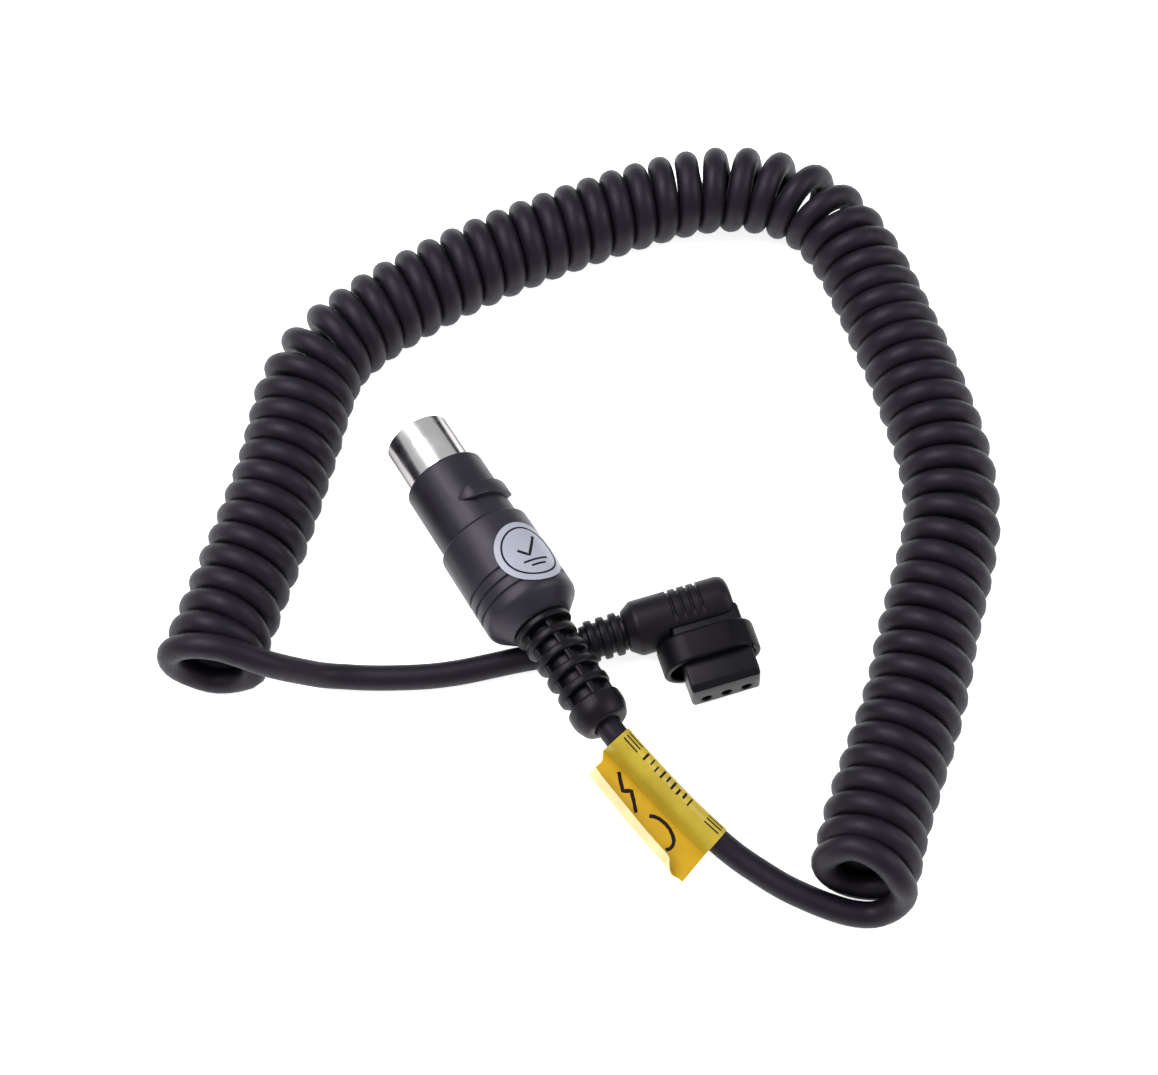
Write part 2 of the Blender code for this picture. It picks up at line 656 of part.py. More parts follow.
def make_label():
    """Film folded around the lead, its two ends meeting in a flag."""
    bm = bmesh.new()
    outer_loops = []
    inner_loops = []
    angles = [18.0 + 324.0 * step / 13.0 for step in range(14)]
    for point, direction in label_sections():
        side = direction.cross(Vector((0.0, 0.0, 1.0))).normalized()
        up = side.cross(direction)
        outer = []
        inner = []
        for angle_deg in angles:
            angle = math.radians(angle_deg)
            ray = side * math.cos(angle) + up * math.sin(angle)
            outer.append(bm.verts.new(point + ray * LABEL_OUTER_RADIUS))
            inner.append(bm.verts.new(point + ray * LABEL_INNER_RADIUS))
        for reach, height, inner_angle in (
            (LABEL_OUTER_RADIUS + 2.0, -0.13, -9.0), (LABEL_OUTER_RADIUS + 4.6, 0.35, -5.0),
            (LABEL_OUTER_RADIUS + LABEL_FLAG, 1.6, -1.5), (LABEL_OUTER_RADIUS + LABEL_FLAG - 0.1, 1.86, 1.5),
            (LABEL_OUTER_RADIUS + 4.5, 0.62, 5.0), (LABEL_OUTER_RADIUS + 2.0, 0.13, 9.0),
        ):
            outer.append(bm.verts.new(point + side * reach + up * height))
            angle = math.radians(inner_angle)
            ray = side * math.cos(angle) + up * math.sin(angle)
            inner.append(bm.verts.new(point + ray * LABEL_INNER_RADIUS))
        outer_loops.append(outer)
        inner_loops.append(inner)
    count = len(outer_loops[0])
    for loops in (outer_loops, inner_loops):
        for index in range(len(loops) - 1):
            join_rings(bm, loops[index], loops[index + 1], count)
    join_rings(bm, outer_loops[0], inner_loops[0], count)
    join_rings(bm, outer_loops[-1], inner_loops[-1], count)
    material = make_material("label_film", (0.85, 0.62, 0.03), 0.25, 0.0)
    return finish_object("label_flag", bm, Matrix.Identity(4), material)


def elbow_box(bm, low, high, bevel=0.0, segments=2):
    """Box between two corners, in the right-angle plug's millimetres, edges rounded."""
    made = bmesh.ops.create_cube(bm, size=1.0)
    corners = made["verts"]
    for corner in corners:
        for axis in range(3):
            corner.co[axis] = low[axis] if corner.co[axis] < 0.0 else high[axis]
    if bevel > 0.0:
        edges = {edge for corner in corners for edge in corner.link_edges}
        bmesh.ops.bevel(bm, geom=list(edges), offset=bevel, segments=segments, profile=0.5, affect="EDGES")


def make_elbow_body():
    """Round barrel with a squared neck towards the contacts, hollow inside."""
    material = make_material("elbow_plastic", (0.022, 0.022, 0.025), 0.5, 0.0)
    bm = bmesh.new()
    r = ELBOW_RADIUS
    end = ELBOW_LENGTH
    profile = (
        (0.0, 0.0), (0.0, 3.9), (1.9, r - 0.15), (2.3, r), (end - 2.2, r), (end - 1.1, r - 0.35),
        (end - 0.35, r - 1.1), (end, r - 2.3), (end, 0.0),
    )
    revolve_into(bm, profile, 32, "X")
    body = raw_object("elbow_body", bm, material)
    for centre in ELBOW_GROOVES:
        cut_bm = bmesh.new()
        arc_groove_into(cut_bm, centre)
        boolean(body, raw_object("groove", cut_bm, material), "DIFFERENCE")
    neck_bm = bmesh.new()
    elbow_box(neck_bm, (7.0, -6.1, -4.6), (22.6, -1.0, 4.6), 1.4)
    boolean(body, raw_object("neck", neck_bm, material), "UNION")
    pocket_bm = bmesh.new()
    half = INSERT_WIDTH / 2.0 + 0.3
    tall = INSERT_HEIGHT / 2.0 + 0.3
    elbow_box(pocket_bm, (INSERT_CENTRE - half, -7.0, -tall), (INSERT_CENTRE + half, -1.6, tall))
    boolean(body, raw_object("pocket", pocket_bm, material), "DIFFERENCE")
    bore_bm = bmesh.new()
    bore_profile = ((-1.0, 0.0), (-1.0, 2.85), (1.2, 2.85), (1.2, 3.2), (end - 1.5, 3.2), (end - 1.5, 0.0))
    revolve_into(bore_bm, bore_profile, 28, "X")
    boolean(body, raw_object("bore", bore_bm, material), "DIFFERENCE")
    return settle(body, elbow_frame())


def arc_groove_into(bm, centre):
    """A short groove over the top and back of the barrel."""
    half = 0.4
    rings = []
    for angle_deg in (-32.0, -7.0, 17.0, 41.0, 65.0, 93.0):
        angle = math.radians(angle_deg)
        ring = []
        for along, radius in (
            (centre - half, ELBOW_RADIUS + 0.6), (centre + half, ELBOW_RADIUS + 0.6),
            (centre + half * 0.5, ELBOW_RADIUS - 0.45), (centre - half * 0.5, ELBOW_RADIUS - 0.45),
        ):
            ring.append(bm.verts.new(axis_point("X", along, radius, angle)))
        rings.append(ring)
    for index in range(len(rings) - 1):
        join_rings(bm, rings[index], rings[index + 1], 4)
    bm.faces.new(rings[0])
    bm.faces.new(rings[-1])


def make_elbow_boot():
    """Ribbed strain relief of the right-angle plug."""
    length = ELBOW_BOOT_LENGTH
    outer = [(-0.3, 2.75), (-0.3, 3.6)]
    for index in range(3):
        centre = -1.75 - index * ELBOW_RING_PITCH
        radius = ELBOW_RING_RADIUS - 0.06 * index
        outer += [
            (centre + 0.75, 3.35), (centre + 0.7, radius - 0.2), (centre + 0.5, radius),
            (centre - 0.5, radius), (centre - 0.7, radius - 0.2), (centre - 0.75, 3.35),
        ]
    outer += [(-length + 0.3, 3.35), (-length, 3.05), (-length, 2.75)]
    bm = bmesh.new()
    revolve_into(bm, outer, 28, "X")
    material = make_material("elbow_boot_rubber", (0.022, 0.022, 0.024), 0.5, 0.0)
    return finish_object("elbow_boot", bm, elbow_frame(), material)


def stadium(width, height, steps=8):
    """Points of a stadium outline around the origin, as (across, up)."""
    radius = height / 2.0
    straight = width / 2.0 - radius
    points = []
    for step in range(steps + 1):
        angle = -math.pi / 2.0 + math.pi * step / steps
        points.append((straight + radius * math.cos(angle), radius * math.sin(angle)))
    for step in range(steps + 1):
        angle = math.pi / 2.0 + math.pi * step / steps
        points.append((-straight + radius * math.cos(angle), radius * math.sin(angle)))
    return points


def make_elbow_skirt():
    """Hood around the contact insert, open at the front."""
    material = make_material("skirt_plastic", (0.024, 0.024, 0.027), 0.42, 0.0)
    bm = bmesh.new()
    loops = []
    levels = (
        (SKIRT_BACK, SKIRT_WIDTH - 1.0, SKIRT_HEIGHT - 1.0), (SKIRT_BACK + 0.5, SKIRT_WIDTH, SKIRT_HEIGHT),
        (SKIRT_FRONT - 0.5, SKIRT_WIDTH, SKIRT_HEIGHT), (SKIRT_FRONT, SKIRT_WIDTH - 0.8, SKIRT_HEIGHT - 0.8),
        (SKIRT_FRONT, SKIRT_WIDTH - 2.0 * SKIRT_WALL, SKIRT_HEIGHT - 2.0 * SKIRT_WALL),
        (SKIRT_BACK + 1.5, SKIRT_WIDTH - 2.0 * SKIRT_WALL, SKIRT_HEIGHT - 2.0 * SKIRT_WALL),
    )
    for depth, width, height in levels:
        loops.append([bm.verts.new((SKIRT_CENTRE + x, -depth, z)) for x, z in stadium(width, height)])
    count = len(loops[0])
    for index in range(len(loops) - 1):
        join_rings(bm, loops[index], loops[index + 1], count)
    bm.faces.new(loops[0])
    bm.faces.new(loops[-1])
    skirt = raw_object("elbow_skirt", bm, material)
    slot_bm = bmesh.new()
    half = INSERT_WIDTH / 2.0 + 0.3
    tall = INSERT_HEIGHT / 2.0 + 0.3
    elbow_box(slot_bm, (INSERT_CENTRE - half, -SKIRT_FRONT, -tall), (INSERT_CENTRE + half, -2.0, tall))
    boolean(skirt, raw_object("slot", slot_bm, material), "DIFFERENCE")
    return settle(skirt, elbow_frame())


def contact_places():
    return [INSERT_CENTRE + offset * CONTACT_PITCH for offset in (-1.0, 0.0, 1.0)]


def make_socket_insert():
    """Block with the three contact holes, bevelled along its upper front edge."""
    material = make_material("insert_plastic", (0.026, 0.026, 0.028), 0.4, 0.0)
    bm = bmesh.new()
    half = INSERT_WIDTH / 2.0
    tall = INSERT_HEIGHT / 2.0
    outline = (
        (-INSERT_BACK, -tall), (-INSERT_BACK, tall), (-INSERT_FRONT + 1.2, tall),
        (-INSERT_FRONT, tall - 0.9), (-INSERT_FRONT, -tall),
    )
    left = [bm.verts.new((INSERT_CENTRE - half, y, z)) for y, z in outline]
    right = [bm.verts.new((INSERT_CENTRE + half, y, z)) for y, z in outline]
    join_rings(bm, left, right, 5)
    bm.faces.new(left)
    bm.faces.new(right)
    long_edges = [edge for edge in bm.edges if abs(edge.verts[0].co.y - edge.verts[1].co.y) > 5.0]
    bmesh.ops.bevel(bm, geom=long_edges, offset=0.7, segments=2, profile=0.5, affect="EDGES")
    insert = raw_object("socket_insert", bm, material)
    for place in contact_places():
        hole_bm = bmesh.new()
        side_round_into(hole_bm, place, -CONTACT_DROP, (
            (-INSERT_FRONT - 1.0, 0.0), (-INSERT_FRONT - 1.0, CONTACT_HOLE_RADIUS),
            (-INSERT_BACK + 1.0, CONTACT_HOLE_RADIUS), (-INSERT_BACK + 1.0, 0.0),
        ), 16)
        boolean(insert, raw_object("hole", hole_bm, material), "DIFFERENCE")
    return settle(insert, elbow_frame())


def side_round_into(bm, across, up, profile, count):
    """Revolve a profile around a line that runs towards the contacts."""
    start = len(bm.verts)
    revolve_into(bm, profile, count)
    bm.verts.ensure_lookup_table()
    moved = [bm.verts[index] for index in range(start, len(bm.verts))]
    bmesh.ops.translate(bm, verts=moved, vec=(across, 0.0, up))


def make_socket_contacts():
    """Recessed female contacts."""
    for index, place in enumerate(contact_places()):
        bm = bmesh.new()
        side_round_into(bm, place, -CONTACT_DROP, (
            (-INSERT_FRONT + 1.3, 0.35), (-INSERT_FRONT + 1.3, 0.62), (-7.0, 0.62), (-7.0, 0.0),
            (-8.0, 0.0), (-8.0, 0.35),
        ), 14)
        name = "socket_contact_%d" % (index + 1)
        finish_object(name, bm, elbow_frame(), make_material(name + "_metal", (0.8, 0.7, 0.42), 0.3, 1.0))


def make_elbow_conductors():
    """Wires from the lead to the female contacts."""
    for index, place in enumerate(contact_places()):
        lane = -0.2 + 1.15 * index
        route = (
            Vector((2.2, lane * 0.9 - 0.6, -0.9)), Vector((5.0, lane, -CONTACT_DROP)),
            Vector((place - 1.0, lane, -CONTACT_DROP)), Vector((place - 0.25, lane - 0.25, -CONTACT_DROP)),
            Vector((place, lane - 1.0, -CONTACT_DROP)), Vector((place, -6.6, -CONTACT_DROP)),
        )
        bm = bmesh.new()
        tube_into(bm, route, 0.42, 8)
        name = "elbow_conductor_%d" % (index + 1)
        tint = (0.35 - 0.1 * index, 0.06 + 0.05 * index, 0.05)
        finish_object(name, bm, elbow_frame(), make_material(name + "_jacket", tint, 0.5, 0.0))


def build():
    clear_scene()
    make_plug_shell()
    make_pin_carrier()
    make_contact_pins()
    make_plug_conductors()
    make_lock_collar()
    make_retaining_ring()
    make_plug_body()
    make_inner_potting()
    make_crimp_ferrule()
    make_plug_boot()
    make_inspection_sticker()
    make_cord_coil()
    make_pack_lead()
    make_flash_lead()
    make_label()
    make_elbow_body()
    make_elbow_boot()
    make_elbow_skirt()
    make_socket_insert()
    make_socket_contacts()
    make_elbow_conductors()


build()
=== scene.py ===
"""Looks of the coiled flash power cable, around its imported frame.

Shapes are worked out in millimetres, in the frame of the plug that they belong to, and placed in
metres. The plugs' frames come from the record's mounts.
"""
import json
import math

import bmesh
import bpy
import numpy
from mathutils import Matrix, Vector


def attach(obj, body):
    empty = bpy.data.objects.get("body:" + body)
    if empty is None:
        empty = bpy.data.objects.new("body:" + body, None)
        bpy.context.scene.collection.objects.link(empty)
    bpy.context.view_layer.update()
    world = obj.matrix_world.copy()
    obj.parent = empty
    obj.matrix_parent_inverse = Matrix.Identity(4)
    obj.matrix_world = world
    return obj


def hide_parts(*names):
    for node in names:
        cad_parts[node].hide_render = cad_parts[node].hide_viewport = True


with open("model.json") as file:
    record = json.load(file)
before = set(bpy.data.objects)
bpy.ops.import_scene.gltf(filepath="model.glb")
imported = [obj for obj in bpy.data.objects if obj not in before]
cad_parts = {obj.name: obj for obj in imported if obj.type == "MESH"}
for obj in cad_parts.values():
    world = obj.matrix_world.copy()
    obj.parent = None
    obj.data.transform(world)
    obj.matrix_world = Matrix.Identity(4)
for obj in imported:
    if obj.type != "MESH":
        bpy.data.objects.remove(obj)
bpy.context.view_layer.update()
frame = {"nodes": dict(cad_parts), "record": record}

MM = 0.001
WELD = 0.0004

# Camera: place and target in metres, focal length in millimetres.
CAMERA_AT = (-0.09011, -0.17814, 0.43376)
CAMERA_TARGET = (0.01591, -0.00033, 0.0093)
CAMERA_LENS = 76.0
CAMERA_SENSOR = 36.0

# Studio: strengths and lamp powers in watts.
WORLD_STRENGTH = 0.50
SOFTBOX_POWER = 7.0
FILL_POWER = 2.5
FLOOR_GLOW = 0.78
FLOOR_REACH = 3.0

# Cord: radii, stations and leans in millimetres, turns counted from the flash end.
CORD_RADIUS = 2.47
COIL_TURNS = 65.5
FIRST_TURN = 1.0
LAST_TURN = 65.75
# Turns gained (or lost) against an even winding, by share of the coil's length.
TURN_SHIFTS = ((0.0, 0.0), (0.12, 0.0), (0.50, -0.5), (0.72, 0.0), (0.91, 0.05), (1.0, 0.42))
# One turn more is squeezed into the bend near the flash end: where that starts and how far it spreads,
# as shares of the coil's length. The turns overlap a little there.
BEND_START = 0.085
BEND_SPAN = 0.20
# How far the end turns lean out at their bottoms, in millimetres, and over how many turns that fades.
FIRST_LEAN = 4.3
LEAN_TURNS = 3.0
LAST_LEAN = 3.3
LAST_LEAN_TURNS = 8.0
POINTS_PER_TURN = 28
LEAD_POINTS = 84
AXIS_SAMPLES = 1400
HEADING_WINDOW = 61
PLUG_EXIT_STATION = 71.0
CORD_START_STATION = 58.0
ELBOW_CORD_END = 0.6

# Ground route of the coil from the flash end to the pack end, in metres: x, y and outer radius.
COIL_ROUTE = (
    (-0.0574, 0.0124, 0.00970), (-0.0510, 0.0182, 0.00965), (-0.0449, 0.0239, 0.00958),
    (-0.0388, 0.0294, 0.00952), (-0.0328, 0.0352, 0.00945), (-0.0267, 0.0413, 0.00938),
    (-0.0207, 0.0477, 0.00965), (-0.0148, 0.0543, 0.00985), (-0.0076, 0.0599, 0.00950),
    (0.0005, 0.0625, 0.00912), (0.0086, 0.0637, 0.00908), (0.0170, 0.0641, 0.00904),
    (0.0254, 0.0641, 0.00900), (0.0339, 0.0636, 0.00897), (0.0422, 0.0628, 0.00894),
    (0.0504, 0.0617, 0.00891), (0.0588, 0.0604, 0.00889), (0.0673, 0.0588, 0.00886),
    (0.0756, 0.0566, 0.00884), (0.0831, 0.0535, 0.00883), (0.0900, 0.0486, 0.00884),
    (0.0951, 0.0422, 0.00886), (0.0974, 0.0340, 0.00891), (0.0973, 0.0249, 0.00898),
    (0.0958, 0.0157, 0.00904), (0.0940, 0.0069, 0.00912), (0.0922, -0.0019, 0.00918),
    (0.0899, -0.0104, 0.00926), (0.0874, -0.0190, 0.00933), (0.0840, -0.0271, 0.00940),
    (0.0795, -0.0346, 0.00947), (0.0737, -0.0409, 0.00954), (0.0674, -0.0468, 0.00961),
    (0.0613, -0.0526, 0.00968), (0.0556, -0.0586, 0.00974), (0.0495, -0.0642, 0.00981),
    (0.0433, -0.0693, 0.00987), (0.0384, -0.0733, 0.00992), (0.0331, -0.0778, 0.00998),
    (0.0259, -0.0847, 0.01005), (0.0233, -0.0872, 0.01010),
)

# Lead from the round plug to the coil, in metres.
PACK_ROUTE = (
    (0.00035, -0.0396, 0.0111), (0.0016, -0.0450, 0.0096), (0.0030, -0.0502, 0.0078),
    (0.0045, -0.0554, 0.0060), (0.0061, -0.0604, 0.0044), (0.0077, -0.0650, 0.0032),
    (0.0092, -0.0690, 0.0026), (0.0111, -0.0733, 0.0025), (0.0133, -0.0778, 0.0025),
    (0.0157, -0.0816, 0.0025), (0.0183, -0.0852, 0.0025),
)

# End turn at the pack end, in metres: from the lead up to the coil's last full turn.
PACK_RING = (
    (0.0211, -0.0884, 0.0026), (0.0243, -0.0908, 0.00285), (0.0271, -0.0919, 0.0046),
    (0.0291, -0.0920, 0.0069), (0.0297, -0.0916, 0.0102), (0.0292, -0.0905, 0.0136),
    (0.0282, -0.0874, 0.0165), (0.0266, -0.0841, 0.01735), (0.0247, -0.0815, 0.0167),
    (0.0229, -0.0802, 0.0152), (0.0214, -0.0795, 0.0130),
)

# End turn at the flash end, in metres: from the coil's first full turn out to the lead.
FLASH_RING = (
    (-0.0502, 0.0120, 0.0141), (-0.0498, 0.0095, 0.0098), (-0.0509, 0.0080, 0.0064),
    (-0.0536, 0.0095, 0.0036), (-0.0566, 0.0113, 0.0025), (-0.0592, 0.0133, 0.0029),
    (-0.0622, 0.0157, 0.0057), (-0.0634, 0.0168, 0.0095), (-0.0625, 0.0166, 0.0137),
    (-0.0592, 0.0142, 0.0168), (-0.0555, 0.0112, 0.0175), (-0.0523, 0.0083, 0.0163),
)

# Lead from the coil to the right-angle plug, in metres.
FLASH_ROUTE = (
    (-0.0490, 0.0056, 0.0138), (-0.0461, 0.0041, 0.0109), (-0.0429, 0.0028, 0.0077),
    (-0.0397, 0.0015, 0.0048), (-0.0365, 0.0001, 0.0031), (-0.0325, -0.0023, 0.0025),
    (-0.0280, -0.0050, 0.0025), (-0.0220, -0.0082, 0.0025), (-0.0165, -0.0105, 0.0025),
    (-0.0110, -0.0123, 0.0025), (-0.0060, -0.0139, 0.0025), (-0.0010, -0.0157, 0.0025),
    (0.0016, -0.0167, 0.00275), (0.0036, -0.0175, 0.0037),
)

# Round plug: stations in millimetres back from the shell's tip.
SHELL_RADIUS = 6.60
CONTACT_FACE = 8.6
SHELL_WALL = 0.45
SHELL_END = 33.0
COLLAR_FRONT = 11.0
COLLAR_STEP = 26.3
COLLAR_BACK = 29.6
COLLAR_RADIUS = 8.25
COLLAR_BORE = 6.90
COLLAR_TONGUE = 7.75
COLLAR_GAP = 0.32
RING_SEAT_FRONT = 22.6
RING_SEAT_BACK = 24.0
RING_SEAT_DEPTH = 0.55
LUG_FRONT = 19.0
LUG_BACK = 22.3
LUG_CREST = 9.30
BODY_FRONT = 26.7
BODY_FRONT_RADIUS = 9.35
BODY_BACK_RADIUS = 9.50
BODY_SHOULDER = 45.4
BODY_BACK = 48.5
BODY_NECK = 6.3
GROOVE_STATIONS = (38.0, 40.3, 42.6)
GROOVE_HALF = 0.3
GROOVE_DEPTH = 0.38
STICKER_STATION = 37.6
STICKER_ANGLE = math.radians(26.7)
STICKER_RADIUS = 6.9
STICKER_BEND = 9.62
FILM = 0.14
INK = 0.03
BOOT_FRONT = 48.8
BOOT_RINGS = tuple(52.4 + 3.95 * index for index in range(4))
BOOT_RING_HALF = 0.95
BOOT_RING_RADIUS = 5.30
BOOT_CORE = 3.60
BOOT_POCKET = 5.6
BOOT_SLEEVE = 0.85
BOOT_BAR_RADIUS = 4.85
BOOT_BARS = tuple(8.0 + 72.0 * index for index in range(5))
BOOT_BAR_HALF_DEG = 9.0
BULB_FRONT = 67.4
BULB_BACK = 72.8
BULB_RADIUS = 5.45
CORD_BORE = 2.6

# Right-angle plug: +X from its boot to its far end, -Y towards its contacts, millimetres.
ELBOW_PITCH = math.radians(3.0)
ELBOW_FACE = (14.9, -17.1, 0.9)
ELBOW_RADIUS = 5.40
ELBOW_LENGTH = 21.2
ELBOW_GROOVES = (9.6, 11.45, 13.3, 15.15)
GROOVE_FROM_DEG = -33.0
GROOVE_SWEEP_DEG = 126.0
GROOVE_NUDGE_DEG = 0.013
GROOVE_CUT = 0.5
GROOVE_FADE = 0.12
ELBOW_BOOT_LENGTH = 8.6
ELBOW_RING_RADIUS = 4.20
ELBOW_RING_PITCH = 2.45
SKIRT_CENTRE = 14.0
SKIRT_WIDTH = 19.2
SKIRT_HEIGHT = 11.6
SKIRT_BACK = 5.5
SKIRT_FRONT = 11.5
SKIRT_WALL = 1.25
INSERT_CENTRE = 14.9
INSERT_WIDTH = 13.6
INSERT_HEIGHT = 7.4
INSERT_BACK = 1.9
INSERT_FRONT = 17.1
CONTACT_PITCH = 3.95
CONTACT_DROP = 1.7
CONTACT_HOLE = 1.00
COUNTERSINK = 0.2
INSERT_GAP = 0.3

# Label, millimetres.
LABEL_START_Y = -40.0
LABEL_END_Y = -64.6
LABEL_RADIUS = 2.72
LABEL_FILM = 0.12
CREASE_OUT = 3.3
CREASE_SPREAD = 0.1
CREASE_DROP = 0.6
FLAG_FLAT = 5.1
FLAG_SPREAD = 1.5
FLAG_CURL = 1.9
FLAG_CURL_DEG = 128.0
FLAG_FOLD = 1.5
FLAG_COLUMNS = 40
NOTCH = 1.3
NOTCH_SPAN = 0.12
NOTCH_RAMP = 2.0
COLUMN_STEP = 0.2
LAYER_GAP = 0.075
LABEL_ROWS = 41
WRAP_STEPS = 40
SLOPE_STEPS = 6
# The flag's curl fades out over this part of the label's length. The lifts are the flag's angles at the
# label's two ends.
FADE_START = 0.80
FADE_SPAN = 0.18
LIFT_START_DEG = 15.0
LIFT_END_DEG = 8.0


# ---------------------------------------------------------------- camera, stage and light

def make_camera():
    camera = bpy.data.objects.new("camera", bpy.data.cameras.new("camera"))
    camera.data.lens = CAMERA_LENS
    camera.data.sensor_width = CAMERA_SENSOR
    camera.data.clip_start = 0.01
    camera.location = CAMERA_AT
    direction = Vector(CAMERA_TARGET) - Vector(CAMERA_AT)
    camera.rotation_euler = direction.to_track_quat("-Z", "Y").to_euler()
    bpy.context.scene.collection.objects.link(camera)
    bpy.context.scene.camera = camera


def make_area(name, location, target, size, power):
    data = bpy.data.lights.new(name, "AREA")
    data.shape = "RECTANGLE"
    data.size, data.size_y = size
    data.energy = power
    lamp = bpy.data.objects.new(name, data)
    lamp.location = location
    lamp.rotation_euler = (Vector(target) - Vector(location)).to_track_quat("-Z", "Y").to_euler()
    bpy.context.scene.collection.objects.link(lamp)


def make_studio():
    """White glowing table, a broad softbox above and behind, a smaller fill and a pale surround."""
    bpy.context.scene.view_settings.view_transform = "Standard"
    world = bpy.data.worlds.new("studio")
    world.use_nodes = True
    bpy.context.scene.world = world
    world.node_tree.nodes["Background"].inputs["Color"].default_value = (0.97, 0.98, 1.0, 1.0)
    world.node_tree.nodes["Background"].inputs["Strength"].default_value = WORLD_STRENGTH
    make_area("softbox", (-0.25, 0.35, 0.75), (0.02, 0.0, 0.0), (0.7, 0.5), SOFTBOX_POWER)
    make_area("fill", (0.6, -0.3, 0.5), (0.0, 0.0, 0.0), (0.5, 0.5), FILL_POWER)

    floor_mesh = bpy.data.meshes.new("floor")
    corners = [(x * FLOOR_REACH, y * FLOOR_REACH, 0.0) for x, y in ((-1, -1), (1, -1), (1, 1), (-1, 1))]
    floor_mesh.from_pydata(corners, [], [(0, 1, 2, 3)])
    floor = bpy.data.objects.new("floor", floor_mesh)
    bpy.context.scene.collection.objects.link(floor)
    sheet = Recipe("floor_paper", (0.95, 0.95, 0.95), 0.9)
    sheet.set("Emission Color", (1.0, 1.0, 1.0, 1.0))
    sheet.set("Emission Strength", FLOOR_GLOW)
    floor_mesh.materials.append(sheet.material)


# ---------------------------------------------------------------- materials

# Highlights on black plastic, and the plated shell's reflection at grazing angles.
BLACK_TINT = (1.0, 0.93, 1.08, 1.0)
EDGE_TINT = (0.12, 0.115, 0.12, 1.0)

# The stretch of a noise's value that its colours and roughness are spread over.
NOISE_LOW = 0.3
NOISE_HIGH = 0.7


class Recipe:
    """A Principled material and short ways to wire nodes into it."""

    def __init__(self, name, colour, roughness, metallic=0.0):
        self.material = bpy.data.materials.new(name)
        self.material.use_nodes = True
        self.tree = self.material.node_tree
        self.shader = self.tree.nodes["Principled BSDF"]
        self.colour = colour
        self.set("Base Color", (colour[0], colour[1], colour[2], 1.0))
        self.set("Roughness", roughness)
        self.set("Metallic", metallic)

    def set(self, socket, value):
        self.shader.inputs[socket].default_value = value

    def node(self, kind):
        return self.tree.nodes.new(kind)

    def link(self, source, output, target, socket):
        self.tree.links.new(source.outputs[output], target.inputs[socket])

    def place(self, stretch=(1.0, 1.0, 1.0), turn=(0.0, 0.0, 0.0)):
        coordinates = self.node("ShaderNodeTexCoord")
        mapping = self.node("ShaderNodeMapping")
        mapping.inputs["Scale"].default_value = stretch
        mapping.inputs["Rotation"].default_value = turn
        self.link(coordinates, "Object", mapping, "Vector")
        return mapping

    def noise(self, size_mm, detail=3.0, stretch=(1.0, 1.0, 1.0), turn=(0.0, 0.0, 0.0), distortion=0.0):
        """Noise whose lumps are about size_mm across."""
        texture = self.node("ShaderNodeTexNoise")
        texture.inputs["Scale"].default_value = 1.0 / (size_mm * MM)
        texture.inputs["Detail"].default_value = detail
        texture.inputs["Distortion"].default_value = distortion
        self.link(self.place(stretch, turn), "Vector", texture, "Vector")
        return texture

    def mottle(self, texture, dark, light):
        """Base colour between two multiples of the recipe's own colour."""
        ramp = self.node("ShaderNodeValToRGB")
        for stop, place, share in zip(ramp.color_ramp.elements, (NOISE_LOW, NOISE_HIGH), (dark, light)):
            stop.position = place
            stop.color = tuple(min(channel * share, 1.0) for channel in self.colour) + (1.0,)
        self.link(texture, "Fac", ramp, "Fac")
        self.link(ramp, "Color", self.shader, "Base Color")

    def vary_roughness(self, texture, low, high):
        spread = self.node("ShaderNodeMapRange")
        spread.inputs["From Min"].default_value = NOISE_LOW
        spread.inputs["From Max"].default_value = NOISE_HIGH
        spread.inputs["To Min"].default_value = low
        spread.inputs["To Max"].default_value = high
        self.link(texture, "Fac", spread, "Value")
        self.link(spread, "Result", self.shader, "Roughness")

    def bump(self, layers):
        """Layers of (texture, height in millimetres), stacked."""
        previous = None
        for texture, height in layers:
            bump = self.node("ShaderNodeBump")
            bump.inputs["Strength"].default_value = 1.0
            bump.inputs["Distance"].default_value = height * MM
            self.link(texture, "Fac", bump, "Height")
            if previous is not None:
                self.link(previous, "Normal", bump, "Normal")
            previous = bump
        self.link(previous, "Normal", self.shader, "Normal")


def moulded(name, colour, roughness, grain=0.22, grain_height=0.006, shine=0.34, turn=(0.0, 0.0, 0.0)):
    """Moulded black plastic with a fine spark-eroded grain and slight handling marks."""
    recipe = Recipe(name, colour, roughness)
    recipe.set("Specular IOR Level", shine)
    recipe.set("Specular Tint", BLACK_TINT)
    broad = recipe.noise(9.0, 3.0, turn=turn)
    fine = recipe.noise(grain, 2.0)
    rubbed = recipe.noise(2.4, 4.0, stretch=(1.0, 0.25, 1.0), turn=turn, distortion=0.6)
    recipe.mottle(broad, 0.8, 1.25)
    recipe.vary_roughness(rubbed, roughness - 0.05, roughness + 0.07)
    recipe.bump(((rubbed, 0.006), (fine, grain_height)))
    return recipe.material


def cord_jacket():
    """Matt extruded PVC: fine skin, faint chalky bloom and long soft waves."""
    recipe = Recipe("cord_jacket", (0.0062, 0.0046, 0.0086), 0.48)
    recipe.set("Specular IOR Level", 0.24)
    recipe.set("Specular Tint", BLACK_TINT)
    bloom = recipe.noise(6.0, 4.0, distortion=0.4)
    skin = recipe.noise(0.16, 2.0)
    waves = recipe.noise(1.6, 3.0)
    recipe.mottle(bloom, 0.82, 1.3)
    recipe.vary_roughness(waves, 0.44, 0.56)
    recipe.bump(((waves, 0.01), (skin, 0.005)))
    return recipe.material


